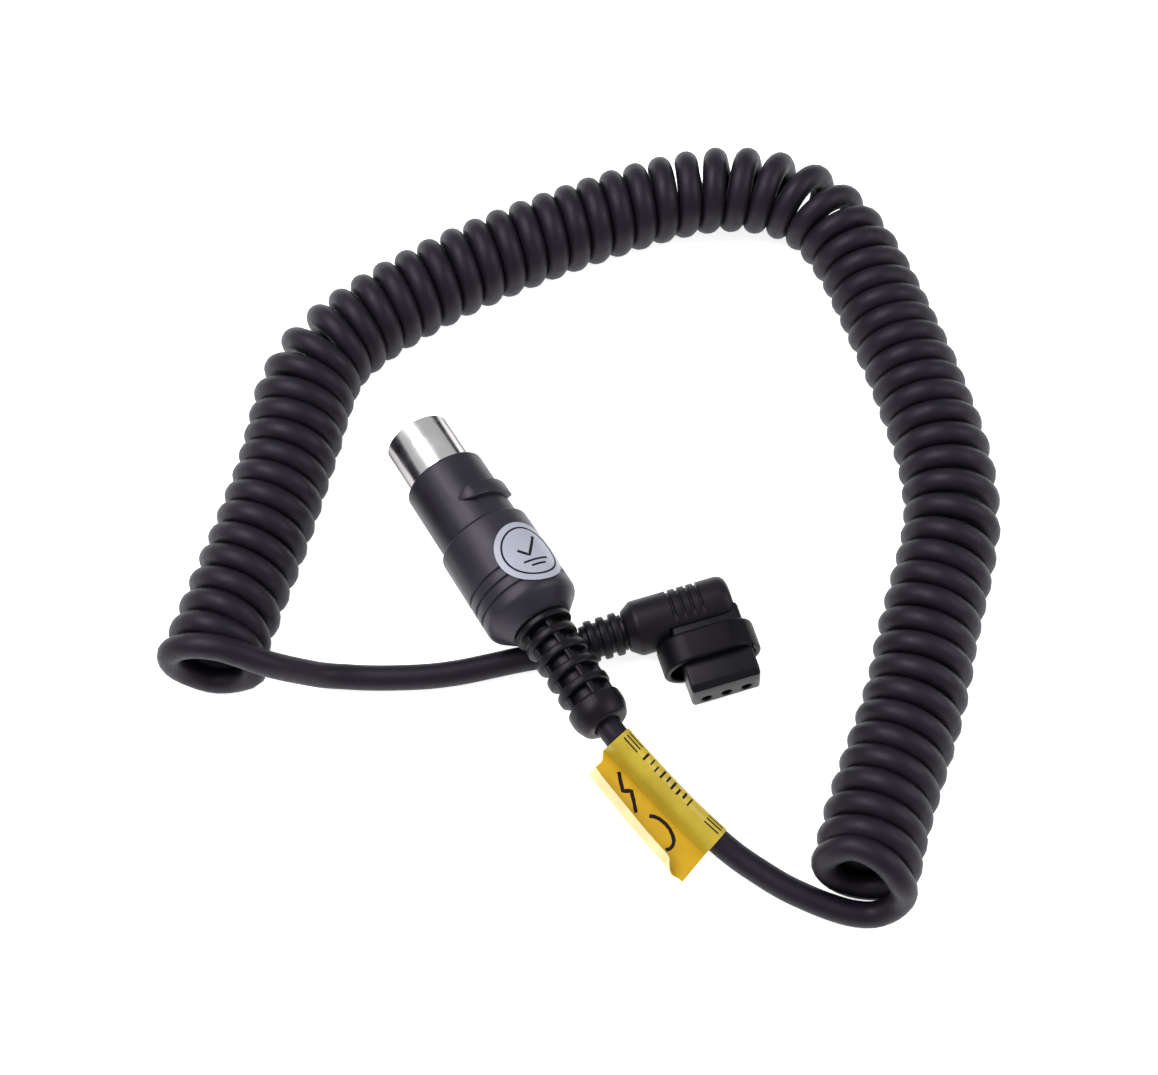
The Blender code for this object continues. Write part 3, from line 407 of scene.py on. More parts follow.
def nickel():
    """Bright plated tube with faint drawing lines along it and light smudges."""
    recipe = Recipe("bright_nickel", (0.88, 0.86, 0.85), 0.19, 1.0)
    lines = recipe.noise(0.25, 2.0, stretch=(1.0, 0.03, 1.0))
    smudge = recipe.noise(4.0, 3.0, distortion=0.5)
    recipe.mottle(smudge, 0.95, 1.03)
    recipe.vary_roughness(smudge, 0.15, 0.24)
    recipe.set("Specular Tint", EDGE_TINT)
    recipe.bump(((lines, 0.0003),))
    return recipe.material


def metal(name, colour, roughness, size_mm=0.5):
    recipe = Recipe(name, colour, roughness, 1.0)
    marks = recipe.noise(size_mm, 3.0, stretch=(1.0, 0.2, 1.0))
    recipe.mottle(marks, 0.85, 1.05)
    recipe.vary_roughness(marks, roughness - 0.06, roughness + 0.08)
    recipe.bump(((marks, 0.003),))
    return recipe.material


def film(name, colour, roughness, dark=0.9, light=1.08, ripple=0.03, shine=0.3):
    """Printed plastic film, slightly rippled."""
    recipe = Recipe(name, colour, roughness)
    recipe.set("Specular IOR Level", shine)
    broad = recipe.noise(5.0, 3.0)
    small = recipe.noise(0.7, 3.0)
    recipe.mottle(broad, dark, light)
    recipe.vary_roughness(small, roughness - 0.04, roughness + 0.06)
    recipe.bump(((broad, ripple), (small, 0.004)))
    return recipe.material


def ink(name, colour, roughness=0.6):
    recipe = Recipe(name, colour, roughness)
    recipe.set("Specular IOR Level", 0.12)
    speckle = recipe.noise(0.15, 2.0)
    recipe.mottle(speckle, 0.8, 1.3)
    return recipe.material


def make_materials():
    return {
        "cord": cord_jacket(),
        "shell": nickel(),
        "collar": moulded("collar_plastic", (0.0125, 0.0110, 0.0155), 0.42),
        "body": moulded("body_plastic", (0.0165, 0.0145, 0.0205), 0.42),
        "boot": moulded("boot_rubber", (0.0034, 0.0027, 0.0038), 0.40, 0.3, 0.006, 0.2),
        "elbow": moulded("elbow_plastic", (0.0048, 0.0040, 0.0056), 0.42, 0.28, 0.006, 0.2),
        "skirt": moulded("skirt_plastic", (0.0028, 0.0023, 0.0033), 0.40, 0.24, 0.005, 0.13),
        "insert": moulded("insert_plastic", (0.0042, 0.0038, 0.0048), 0.36, 0.24, 0.004, 0.2),
        "label": film("label_film", (0.50, 0.37, 0.035), 0.20),
        # The flag's upper layer is the same printed film as the wrap; its deeper, darker orange is painted
        # shade and bounced light from the fold.
        "flag": film("label_flag_painted_shade", (0.56, 0.33, 0.012), 0.34, shine=0.10),
        # The flag's lower layer, seen where the flag curls up, is the same printed film as the wrap; its pale
        # colour is a painted highlight of the curl catching the light.
        "flag_lower_painted_highlight": film("label_flag_lower_painted_highlight", (0.88, 0.76, 0.40), 0.34),
        "sticker": film("sticker_film", (0.35, 0.36, 0.43), 0.32, 0.96, 1.03, 0.015),
        "ink": ink("label_ink", (0.012, 0.006, 0.006)),
        "sticker_ink": ink("sticker_ink", (0.008, 0.008, 0.012)),
        "pin": metal("pin_metal", (0.83, 0.74, 0.50), 0.28),
        "contact": metal("contact_metal", (0.80, 0.68, 0.40), 0.32),
        "ring": metal("ring_metal", (0.60, 0.60, 0.60), 0.35),
        "ferrule": metal("ferrule_metal", (0.62, 0.60, 0.56), 0.36),
        "carrier": moulded("carrier_plastic", (0.03, 0.03, 0.033), 0.45),
        "potting": moulded("potting_resin", (0.09, 0.085, 0.08), 0.60, 0.6, 0.02),
    }


WIRE_COLOURS = (
    (0.42, 0.03, 0.02), (0.02, 0.02, 0.02), (0.55, 0.52, 0.48), (0.05, 0.2, 0.06), (0.05, 0.08, 0.35),
)


def wire_material(index):
    return moulded("wire_jacket_%d" % (index + 1), WIRE_COLOURS[index], 0.5)


def dress_inner_nodes(materials):
    """Give the pieces that stay as CAD nodes their finishes."""
    plan = {"pin_carrier": "carrier", "collar_retaining_ring": "ring", "inner_potting": "potting"}
    plan["crimp_ferrule"] = "ferrule"
    for index in range(5):
        plan["contact_pin_%d" % (index + 1)] = "pin"
    for index in range(3):
        plan["socket_contact_%d" % (index + 1)] = "contact"
    for node, key in plan.items():
        set_material(frame["nodes"][node], materials[key])
    for index in range(5):
        wire = wire_material(index)
        set_material(frame["nodes"]["plug_conductor_%d" % (index + 1)], wire)
        if index < 3:
            set_material(frame["nodes"]["elbow_conductor_%d" % (index + 1)], wire)


def set_material(piece, material):
    for place in piece.material_slots:
        place.material = material


# ---------------------------------------------------------------- frames and mesh helpers

def mount(name):
    for item in frame["record"]["mounts"]:
        if item["name"] == name:
            return Vector(item["pos_m"]), Vector(item["axis"])
    raise ValueError("no mount named " + name)


def plug_frame():
    """Origin at the shell's tip, +Y forward along the plug's axis."""
    face, forward = mount("plug_contact_face")
    side = forward.cross(Vector((0.0, 0.0, 1.0))).normalized()
    up = side.cross(forward)
    place = Matrix((side, forward, up)).transposed().to_4x4()
    place.translation = face + forward * (CONTACT_FACE * MM)
    return place


def elbow_frame():
    face, towards = mount("flash_contact_face")
    back = -towards
    level = back.cross(Vector((0.0, 0.0, 1.0))).normalized()
    along = level * math.cos(ELBOW_PITCH) + Vector((0.0, 0.0, math.sin(ELBOW_PITCH)))
    up = along.cross(back)
    place = Matrix((along, back, up)).transposed().to_4x4()
    place.translation = face - place.to_3x3() @ (Vector(ELBOW_FACE) * MM)
    return place


def add_piece(name, bm, place, material, smooth_deg=35.0):
    """A mesh in millimetres becomes a placed, shaded piece in metres."""
    return settle(raw_piece(name, bm, material), place, smooth_deg)


def shade(piece, smooth_deg):
    mesh = piece.data
    mesh.polygons.foreach_set("use_smooth", [True] * len(mesh.polygons))
    mesh.set_sharp_from_angle(angle=math.radians(smooth_deg))


def axis_point(axis, along, radius, angle):
    if axis == "Y":
        return Vector((radius * math.sin(angle), along, radius * math.cos(angle)))
    return Vector((along, radius * math.sin(angle), radius * math.cos(angle)))


def join_loops(bm, first, second):
    count = len(first)
    for step in range(count):
        following = (step + 1) % count
        corners = (first[step], second[step], second[following], first[following])
        kept = [corner for index, corner in enumerate(corners) if corner is not corners[index - 1]]
        if len(kept) > 2:
            bm.faces.new(kept)


def loft(bm, loops):
    """Join loops in turn, and close the first and the last."""
    for first, second in zip(loops, loops[1:]):
        join_loops(bm, first, second)
    bm.faces.new(loops[0])
    bm.faces.new(loops[-1])


def revolve(bm, profile, count, axis="Y"):
    """Sweep a closed profile of (along, radius) points all round the axis."""
    rings = []
    for along, radius in profile:
        if radius < 0.0001:
            rings.append([bm.verts.new(axis_point(axis, along, 0.0, 0.0))] * count)
        else:
            turn = 2.0 * math.pi / count
            ring = [axis_point(axis, along, radius, step * turn) for step in range(count)]
            rings.append([bm.verts.new(point) for point in ring])
    for index, ring in enumerate(rings):
        following = rings[(index + 1) % len(rings)]
        if ring[0] is not ring[1] or following[0] is not following[1]:
            join_loops(bm, ring, following)


def fillet(corners, segments=4):
    """Round the corners of a closed profile; each corner is (along, radius, fillet)."""
    profile = []
    total = len(corners)
    for index in range(total):
        along, radius, size = corners[index]
        here = Vector((along, radius))
        if size <= 0.0:
            profile.append((along, radius))
            continue
        before = Vector(corners[index - 1][:2]) - here
        after = Vector(corners[(index + 1) % total][:2]) - here
        reach = min(size, before.length * 0.48, after.length * 0.48)
        start = here + before.normalized() * reach
        end = here + after.normalized() * reach
        for step in range(segments + 1):
            share = step / segments
            point = start * (1.0 - share) ** 2 + here * (2.0 * share * (1.0 - share)) + end * share ** 2
            profile.append((point.x, point.y))
    return profile


def plug_stations(corners):
    return [(-corner[0],) + tuple(corner[1:]) for corner in corners]


def boolean(target, cutter, operation):
    modifier = target.modifiers.new("combine", "BOOLEAN")
    modifier.operation = operation
    modifier.solver = "EXACT"
    modifier.object = cutter
    bpy.context.view_layer.update()
    graph = bpy.context.evaluated_depsgraph_get()
    result = bpy.data.meshes.new_from_object(target.evaluated_get(graph))
    target.modifiers.remove(modifier)
    target.data = result
    bpy.data.objects.remove(cutter, do_unlink=True)


def raw_piece(name, bm, material):
    """A piece still in millimetres, for Booleans."""
    bmesh.ops.remove_doubles(bm, verts=bm.verts, dist=WELD)
    bmesh.ops.recalc_face_normals(bm, faces=bm.faces)
    mesh = bpy.data.meshes.new(name)
    bm.to_mesh(mesh)
    bm.free()
    mesh.materials.append(material)
    piece = bpy.data.objects.new(name, mesh)
    bpy.context.scene.collection.objects.link(piece)
    return piece


def settle(piece, place, smooth_deg=35.0):
    """Scale a piece in millimetres to metres, place it and shade it."""
    piece.data.transform(Matrix.Diagonal((MM, MM, MM, 1.0)))
    piece.matrix_world = place
    shade(piece, smooth_deg)
    return piece


def catmull(four, share):
    before, start, end, after = four
    square = share * share
    cube = square * share
    return 0.5 * (
        start * 2.0 + (end - before) * share + (before * 2.0 - start * 5.0 + end * 4.0 - after) * square
        + (start * 3.0 - before - end * 3.0 + after) * cube
    )


def smooth_route(points, count):
    """Catmull-Rom curve through the points, sampled evenly."""
    fixed = [Vector(point) for point in points]
    padded = [fixed[0] * 2.0 - fixed[1]] + fixed + [fixed[-1] * 2.0 - fixed[-2]]
    dense = []
    for index in range(1, len(padded) - 2):
        for step in range(16):
            dense.append(catmull(padded[index - 1:index + 3], step / 16.0))
    dense.append(fixed[-1])
    lengths = [0.0]
    for index in range(1, len(dense)):
        lengths.append(lengths[-1] + (dense[index] - dense[index - 1]).length)
    wanted = numpy.linspace(0.0, lengths[-1], count)
    columns = [numpy.interp(wanted, lengths, [point[axis] for point in dense]) for axis in range(3)]
    return [Vector(values) for values in zip(*columns)]


def smooth_step(value):
    value = min(max(value, 0.0), 1.0)
    return value * value * (3.0 - 2.0 * value)


# ---------------------------------------------------------------- cord

def coil_axis():
    """Fine samples of the coil's ground line in millimetres: x, y, outer radius, heading, curvature."""
    samples = smooth_route(COIL_ROUTE, AXIS_SAMPLES)
    xs = numpy.array([point.x for point in samples]) / MM
    ys = numpy.array([point.y for point in samples]) / MM
    outer = numpy.array([point.z for point in samples]) / MM
    travelled = numpy.concatenate(([0.0], numpy.cumsum(numpy.hypot(numpy.diff(xs), numpy.diff(ys)))))
    heading = numpy.unwrap(numpy.arctan2(numpy.gradient(ys, travelled), numpy.gradient(xs, travelled)))
    window = numpy.hanning(HEADING_WINDOW)
    window = window / window.sum()
    padded = numpy.pad(heading, HEADING_WINDOW // 2, mode="edge")
    heading = numpy.convolve(padded, window, mode="valid")
    curvature = numpy.abs(numpy.gradient(heading, travelled))
    return travelled, xs, ys, outer, heading, curvature


def coil_turns():
    """Points of the left-handed helix, from the first full turn's top to the pack end's last side."""
    travelled, xs, ys, outer, heading, curvature = coil_axis()
    mean = outer - CORD_RADIUS
    density = 1.0 - mean * curvature
    gained = (density[1:] + density[:-1]) / 2.0 * numpy.diff(travelled)
    wound = numpy.concatenate(([0.0], numpy.cumsum(gained)))
    shares = travelled / travelled[-1]
    knots = smooth_route([Vector((share, shift, 0.0)) for share, shift in TURN_SHIFTS], 200)
    wound = wound / wound[-1] * COIL_TURNS
    wound = wound + numpy.interp(shares, [knot.x for knot in knots], [knot.y for knot in knots])
    wound = wound + numpy.array([smooth_step((share - BEND_START) / BEND_SPAN) for share in shares])
    steps = int((LAST_TURN - FIRST_TURN) * POINTS_PER_TURN)
    points = []
    for step in range(steps + 1):
        turn = FIRST_TURN + (LAST_TURN - FIRST_TURN) * step / steps
        along = numpy.interp(turn, wound, travelled)
        x = numpy.interp(along, travelled, xs)
        y = numpy.interp(along, travelled, ys)
        radius = numpy.interp(along, travelled, outer)
        course = numpy.interp(along, travelled, heading)
        forward = Vector((math.cos(course), math.sin(course), 0.0))
        side = Vector((forward.y, -forward.x, 0.0))
        phase = math.pi / 2.0 + 2.0 * math.pi * turn
        reach = radius - CORD_RADIUS
        lean = FIRST_LEAN * max(0.0, 1.0 - (turn - FIRST_TURN) / LEAN_TURNS)
        lean -= LAST_LEAN * max(0.0, 1.0 - (LAST_TURN - turn) / LAST_LEAN_TURNS)
        point = Vector((x, y, radius)) - forward * (lean * (1.0 - math.sin(phase)) / 2.0)
        point += side * (reach * math.cos(phase)) + Vector((0.0, 0.0, reach * math.sin(phase)))
        points.append(point)
    return points


def cord_line(plug, elbow):
    """The whole cord's centre line in metres, from inside the round plug to inside the right-angle plug."""
    turns = [point * MM for point in coil_turns()]
    starts = (CORD_START_STATION, PLUG_EXIT_STATION - 4.0)
    outlet = [plug @ Vector((0.0, -station * MM, 0.0)) for station in starts]
    inlet = [elbow @ Vector((along * MM, 0.0, 0.0)) for along in (-ELBOW_BOOT_LENGTH, ELBOW_CORD_END)]
    lead = [Vector(point) for point in PACK_ROUTE + PACK_RING]
    pack = smooth_route(outlet + lead + [turns[-1], turns[-4]], LEAD_POINTS)
    lead = [Vector(point) for point in FLASH_RING + FLASH_ROUTE]
    flash = smooth_route([turns[3], turns[0]] + lead + inlet, LEAD_POINTS)
    pack = pack[:nearest(pack, turns[-1])]
    flash = flash[nearest(flash, turns[0]) + 1:]
    return pack + turns[::-1] + flash


def nearest(points, target):
    return min(range(len(points)), key=lambda index: (points[index] - target).length)


def make_cord(line, material):
    curve = bpy.data.curves.new("power_cord", "CURVE")
    curve.dimensions = "3D"
    curve.bevel_depth = CORD_RADIUS * MM
    curve.bevel_resolution = 7
    curve.use_fill_caps = True
    spline = curve.splines.new("POLY")
    spline.points.add(len(line) - 1)
    for index, point in enumerate(line):
        spline.points[index].co = (point.x, point.y, point.z, 1.0)
    spline.use_smooth = True
    curve.materials.append(material)
    cord = bpy.data.objects.new("power_cord", curve)
    bpy.context.scene.collection.objects.link(cord)
    return cord


def line_length(line):
    return sum((line[index] - line[index - 1]).length for index in range(1, len(line)))


# ---------------------------------------------------------------- round plug

def make_shell(plug, materials):
    inner = SHELL_RADIUS - SHELL_WALL
    profile = fillet(plug_stations((
        (0.0, inner, 0.16), (0.0, SHELL_RADIUS, 0.18),
        (SHELL_END, SHELL_RADIUS, 0.0), (SHELL_END, inner, 0.0),
    )))
    bm = bmesh.new()
    revolve(bm, profile, 128)
    shell = add_piece("shell_tube", bm, plug, materials["shell"])
    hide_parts("plug_shell")
    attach(shell, "cable")


def make_collar(plug, materials):
    profile = fillet(plug_stations((
        (COLLAR_FRONT, COLLAR_BORE, 0.2), (COLLAR_FRONT, COLLAR_RADIUS, 1.0),
        (COLLAR_STEP, COLLAR_RADIUS, 0.12), (COLLAR_STEP, COLLAR_TONGUE, 0.0),
        (COLLAR_BACK, COLLAR_TONGUE, 0.1), (COLLAR_BACK, COLLAR_BORE, 0.0),
        (RING_SEAT_BACK, COLLAR_BORE, 0.0), (RING_SEAT_BACK, COLLAR_BORE + RING_SEAT_DEPTH, 0.0),
        (RING_SEAT_FRONT, COLLAR_BORE + RING_SEAT_DEPTH, 0.0), (RING_SEAT_FRONT, COLLAR_BORE, 0.0),
    )), 5)
    bm = bmesh.new()
    revolve(bm, profile, 120)
    collar = raw_piece("turning_collar", bm, materials["collar"])
    boolean(collar, raw_piece("lug", lug_mesh(), materials["collar"]), "UNION")
    settle(collar, plug)
    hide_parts("lock_collar")
    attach(collar, "collar")


def lug_mesh():
    """Rib across the collar, pointed at its near end and cut like a half hexagon at its far end."""
    middle = (LUG_FRONT + LUG_BACK) / 2.0
    half = (LUG_BACK - LUG_FRONT) / 2.0
    sections = [(-12.0, 0.1, 0.0), (-6.0, 0.45, 0.35), (0.0, 0.76, 0.68), (6.0, 0.98, 0.94)]
    sections += [(angle, 1.0, 1.0) for angle in (10.0, 18.0, 26.0, 34.0, 42.0, 50.0, 58.0, 66.0)]
    sections += [(73.0, 1.0, 1.0), (79.0, 0.82, 0.95), (84.5, 0.5, 0.7)]
    bm = bmesh.new()
    rings = []
    for angle_deg, width, height in sections:
        base = COLLAR_RADIUS - 0.6
        crest = COLLAR_RADIUS + 0.04 + (LUG_CREST - COLLAR_RADIUS) * height
        reach = half * width
        edge = 0.3 * width
        outline = (
            (-reach, base), (-reach, crest - 0.32 * height), (-reach + edge * 0.35, crest - 0.1 * height),
            (-reach + edge, crest), (reach - edge, crest),
            (reach - edge * 0.35, crest - 0.1 * height), (reach, crest - 0.32 * height), (reach, base),
        )
        angle = math.radians(angle_deg)
        ring = [axis_point("Y", -middle - across, radius, angle) for across, radius in outline]
        rings.append([bm.verts.new(point) for point in ring])
    loft(bm, rings)
    return bm


def make_body(plug, materials):
    slope = (BODY_BACK_RADIUS - BODY_FRONT_RADIUS) / (BODY_SHOULDER - BODY_FRONT)
    corners = [(BODY_FRONT, COLLAR_TONGUE + COLLAR_GAP, 0.0), (BODY_FRONT, BODY_FRONT_RADIUS, 1.1)]
    for station in GROOVE_STATIONS:
        radius = BODY_FRONT_RADIUS + slope * (station - BODY_FRONT)
        corners += [
            (station - GROOVE_HALF, radius, 0.1), (station - GROOVE_HALF * 0.35, radius - GROOVE_DEPTH, 0.06),
            (station + GROOVE_HALF * 0.35, radius - GROOVE_DEPTH, 0.06), (station + GROOVE_HALF, radius, 0.1),
        ]
    corners += [
        (BODY_SHOULDER, BODY_BACK_RADIUS, 1.0), (BODY_BACK - 0.25, BODY_NECK + 0.2, 0.3),
        (BODY_BACK, BODY_NECK - 0.3, 0.1), (BODY_BACK, 4.3, 0.0), (46.4, 4.3, 0.0), (46.4, 4.9, 0.0),
        (44.8, 4.9, 0.0), (44.8, 6.0, 0.0), (33.6, 6.0, 0.0), (33.6, 6.9, 0.0), (30.4, 6.9, 0.0),
        (30.4, COLLAR_TONGUE + COLLAR_GAP, 0.0),
    ]
    bm = bmesh.new()
    revolve(bm, fillet(plug_stations(corners), 5), 128)
    body = add_piece("moulded_body", bm, plug, materials["body"])
    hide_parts("plug_body")
    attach(body, "cable")


def rounded_hump(offset, half):
    """Height from 0 to 1 of a flat-topped hump with rounded shoulders."""
    share = min(abs(offset) / half, 1.0)
    return (1.0 - share ** 6) ** (1.0 / 4.0)


def boot_surface(station, angle_deg):
    """Outer radius of the ladder strain relief."""
    radius = BOOT_CORE
    for centre in BOOT_RINGS:
        if abs(station - centre) < BOOT_RING_HALF:
            rise = (BOOT_RING_RADIUS - BOOT_CORE) * rounded_hump(station - centre, BOOT_RING_HALF)
            radius = max(radius, BOOT_CORE + rise)
    for centre in BOOT_BARS:
        offset = (angle_deg - centre + 180.0) % 360.0 - 180.0
        if abs(offset) < BOOT_BAR_HALF_DEG:
            rise = (BOOT_BAR_RADIUS - BOOT_CORE) * rounded_hump(offset, BOOT_BAR_HALF_DEG)
            radius = max(radius, BOOT_CORE + rise)
    return radius


HUMP_STEPS = (-1.0, -0.992, -0.96, -0.9, -0.8, -0.6, 0.0, 0.6, 0.8, 0.9, 0.96, 0.992, 1.0)


def make_boot(plug, materials):
    angles = []
    for centre in BOOT_BARS:
        angles += [centre + BOOT_BAR_HALF_DEG * step for step in HUMP_STEPS]
        angles += [centre + offset for offset in (16.0, 23.0, 30.0, 36.0, 42.0, 49.0, 56.0)]
    stations = []
    for centre in BOOT_RINGS:
        stations += [centre + BOOT_RING_HALF * step for step in HUMP_STEPS]
    front = fillet((
        (BOOT_FRONT, CORD_BORE + BOOT_SLEEVE, 0.0), (BOOT_FRONT, 5.8, 0.3), (BOOT_FRONT + 1.25, 5.8, 0.3),
        (BOOT_FRONT + 1.3, BOOT_CORE, 0.0),
    ))
    bulb = fillet((
        (BULB_FRONT, BOOT_CORE, 0.0), (BULB_FRONT, BULB_RADIUS, 0.9),
        (BULB_FRONT + 2.9, BULB_RADIUS + 0.05, 1.0), (BULB_BACK, BULB_RADIUS - 1.1, 0.9),
        (BULB_BACK, CORD_BORE, 0.3),
    ), 5)
    bm = bmesh.new()
    rings = []
    for station, radius in front[:-1]:
        rings.append([(station, radius)] * len(angles))
    for station in [BOOT_FRONT + 1.3] + stations + [BULB_FRONT]:
        rings.append([(station, boot_surface(station, angle)) for angle in angles])
    inside = BOOT_FRONT + BOOT_POCKET
    for station, radius in bulb[1:] + [(inside, CORD_BORE), (inside, CORD_BORE + BOOT_SLEEVE)]:
        rings.append([(station, radius)] * len(angles))
    loops = []
    for ring in rings:
        loop = []
        for (station, radius), angle in zip(ring, angles):
            loop.append(bm.verts.new(axis_point("Y", -station, radius, math.radians(angle))))
        loops.append(loop)
    for index, loop in enumerate(loops):
        join_loops(bm, loop, loops[(index + 1) % len(loops)])
    boot = add_piece("ladder_boot", bm, plug, materials["boot"], 50.0)
    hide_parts("plug_boot")
    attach(boot, "cable")


# ---------------------------------------------------------------- sticker

def sticker_point(around, along, radius):
    angle = STICKER_ANGLE + around / STICKER_BEND
    return axis_point("Y", -STICKER_STATION + along, radius, angle)


def sheet_patch(bm, outline_rows, low, high, to_point):
    """A thin closed patch: rows of (across, along) points, lifted to two heights."""
    layers = []
    for height in (low, high):
        layers.append([[bm.verts.new(to_point(a, b, height)) for a, b in row] for row in outline_rows])
    for layer in layers:
        for index in range(len(layer) - 1):
            first, second = layer[index], layer[index + 1]
            for step in range(len(first) - 1):
                bm.faces.new((first[step], first[step + 1], second[step + 1], second[step]))
    close_rims(bm, layers[0], layers[1])


def close_rims(bm, bottom, top):
    """Join the four edges of two layers of vertex rows."""
    for index in range(len(bottom) - 1):
        for column in (0, -1):
            below, above = bottom[index][column], top[index][column]
            bm.faces.new((below, bottom[index + 1][column], top[index + 1][column], above))
    for row in (0, -1):
        for step in range(len(bottom[0]) - 1):
            bm.faces.new((bottom[row][step], bottom[row][step + 1], top[row][step + 1], top[row][step]))


def stroke_rows(points, width, pieces=6):
    """Rows of left and right edge points along a pen stroke."""
    route = [Vector(point) for point in points]
    dense = []
    for index in range(len(route) - 1):
        for step in range(pieces):
            dense.append(route[index].lerp(route[index + 1], step / pieces))
    dense.append(route[-1])
    rows = []
    for index, point in enumerate(dense):
        before = dense[max(index - 1, 0)]
        after = dense[min(index + 1, len(dense) - 1)]
        direction = (after - before).normalized()
        normal = Vector((-direction.y, direction.x))
        rows.append([tuple(point + normal * (width / 2.0)), tuple(point - normal * (width / 2.0))])
    return rows


def ring_rows(radius, width, count=96):
    rows = []
    for step in range(count + 1):
        angle = 2.0 * math.pi * step / count
        spoke = Vector((math.cos(angle), math.sin(angle)))
        rows.append([tuple(spoke * (radius + width / 2.0)), tuple(spoke * (radius - width / 2.0))])
    return rows


def make_sticker(plug, materials):
    bm = bmesh.new()
    count = 96
    loops = []
    shares = (0.0, 0.2, 0.4, 0.6, 0.8, 0.95, 1.0)
    for height, order in ((STICKER_BEND + 0.02, shares[::-1]), (STICKER_BEND + FILM, shares)):
        for share in order:
            loop = []
            centre = None
            for step in range(count):
                angle = 2.0 * math.pi * step / count
                if share == 0.0 and centre is not None:
                    loop.append(centre)
                    continue
                reach = STICKER_RADIUS * share
                made = bm.verts.new(sticker_point(reach * math.cos(angle), reach * math.sin(angle), height))
                centre = made
                loop.append(made)
            loops.append(loop)
    for index, loop in enumerate(loops):
        following = loops[(index + 1) % len(loops)]
        if loop[0] is not loop[1] or following[0] is not following[1]:
            join_loops(bm, loop, following)
    disc = add_piece("sticker_disc", bm, plug, materials["sticker"], 50.0)
    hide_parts("inspection_sticker")
    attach(disc, "cable")

    bm = bmesh.new()
    low, high = STICKER_BEND + FILM - 0.01, STICKER_BEND + FILM + INK
    marks = [ring_rows(5.5, 0.36)]
    marks.append(stroke_rows(((-2.5, 0.7), (-0.8, -1.0), (2.6, 3.0)), 0.55))
    for along, half in ((-2.2, 2.7), (-3.3, 1.6)):
        marks.append(stroke_rows(((-half, along), (half, along)), 0.42))
    for rows in marks:
        sheet_patch(bm, rows, low, high, sticker_point)
    print_marks = add_piece("sticker_print", bm, plug, materials["sticker_ink"], 50.0)
    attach(print_marks, "cable")


# ---------------------------------------------------------------- label

def label_stations():
    """Frames along the labelled stretch of the pack lead, in millimetres."""
    route = smooth_route(PACK_ROUTE, 200)
    kept = [point / MM for point in route if LABEL_END_Y <= point.y / MM <= LABEL_START_Y]
    stations = []
    for share in numpy.linspace(0.0, 1.0, LABEL_ROWS):
        index = round(share * (len(kept) - 1))
        before = kept[max(index - 4, 0)]
        after = kept[min(index + 4, len(kept) - 1)]
        direction = (after - before).normalized()
        left = Vector((0.0, 0.0, 1.0)).cross(direction).normalized() * -1.0
        up = direction.cross(left).normalized()
        if up.z < 0.0:
            up = -up
        stations.append((kept[index], left, up))
    return stations


def crease_point(share):
    return Vector((CREASE_OUT + CREASE_SPREAD * share, -CREASE_DROP))


def flag_profile(share):
    """Middle line of the flag from the crease outward: (left, up) points, curling up at its edge."""
    flat = FLAG_FLAT + FLAG_SPREAD * share
    fade = 1.0 - smooth_step((share - FADE_START) / FADE_SPAN)
    arc = FLAG_CURL * (0.3 + 0.7 * fade)
    width = flat + arc + FLAG_FOLD * fade
    curl = math.radians(FLAG_CURL_DEG) * fade
    lift = math.radians(LIFT_START_DEG + (LIFT_END_DEG - LIFT_START_DEG) * share)
    points = []
    here = crease_point(share)
    step = width / FLAG_COLUMNS
    for index in range(FLAG_COLUMNS + 1):
        points.append(here.copy())
        turned = lift + curl * min(max((index * step - flat) / arc, 0.0), 1.0)
        here = here + Vector((math.cos(turned), math.sin(turned))) * step
    return points


def wrap_point(angle_deg, radius):
    angle = math.radians(angle_deg)
    return Vector((radius * math.cos(angle), radius * math.sin(angle)))


def wrap_profile(share):
    """Film from the crease up to the cord, over its top, round its far side and back under to the crease."""
    crease = crease_point(share)
    own = math.degrees(math.atan2(crease.y, crease.x))
    spread = math.degrees(math.acos(LABEL_RADIUS / crease.length))
    first, last = own + spread, own - spread + 360.0
    leave = wrap_point(first, LABEL_RADIUS)
    under = wrap_point(last, LABEL_RADIUS)
    points = [crease.lerp(leave, step / SLOPE_STEPS) for step in range(1, SLOPE_STEPS)]
    for step in range(WRAP_STEPS + 1):
        points.append(wrap_point(first + (last - first) * step / WRAP_STEPS, LABEL_RADIUS))
    points += [under.lerp(crease, step / SLOPE_STEPS) for step in range(1, SLOPE_STEPS)]
    return points


def label_section(share):
    """The film's middle line: in along the flag's upper layer, round the cord, out along its lower layer."""
    flag = flag_profile(share)
    upper = offset_line(flag, LAYER_GAP)
    lower = offset_line(flag, -LAYER_GAP)
    return upper[::-1] + wrap_profile(share) + lower


def set_back(share, column_out):
    """How far the flag's corner is cut back along the cord at the plug end."""
    return NOTCH * max(0.0, 1.0 - share / NOTCH_SPAN) * smooth_step(column_out / NOTCH_RAMP)


def offset_line(points, distance):
    moved = []
    for index, point in enumerate(points):
        before = points[max(index - 1, 0)]
        after = points[min(index + 1, len(points) - 1)]
        direction = (after - before).normalized()
        moved.append(point + Vector((-direction.y, direction.x)) * distance)
    return moved


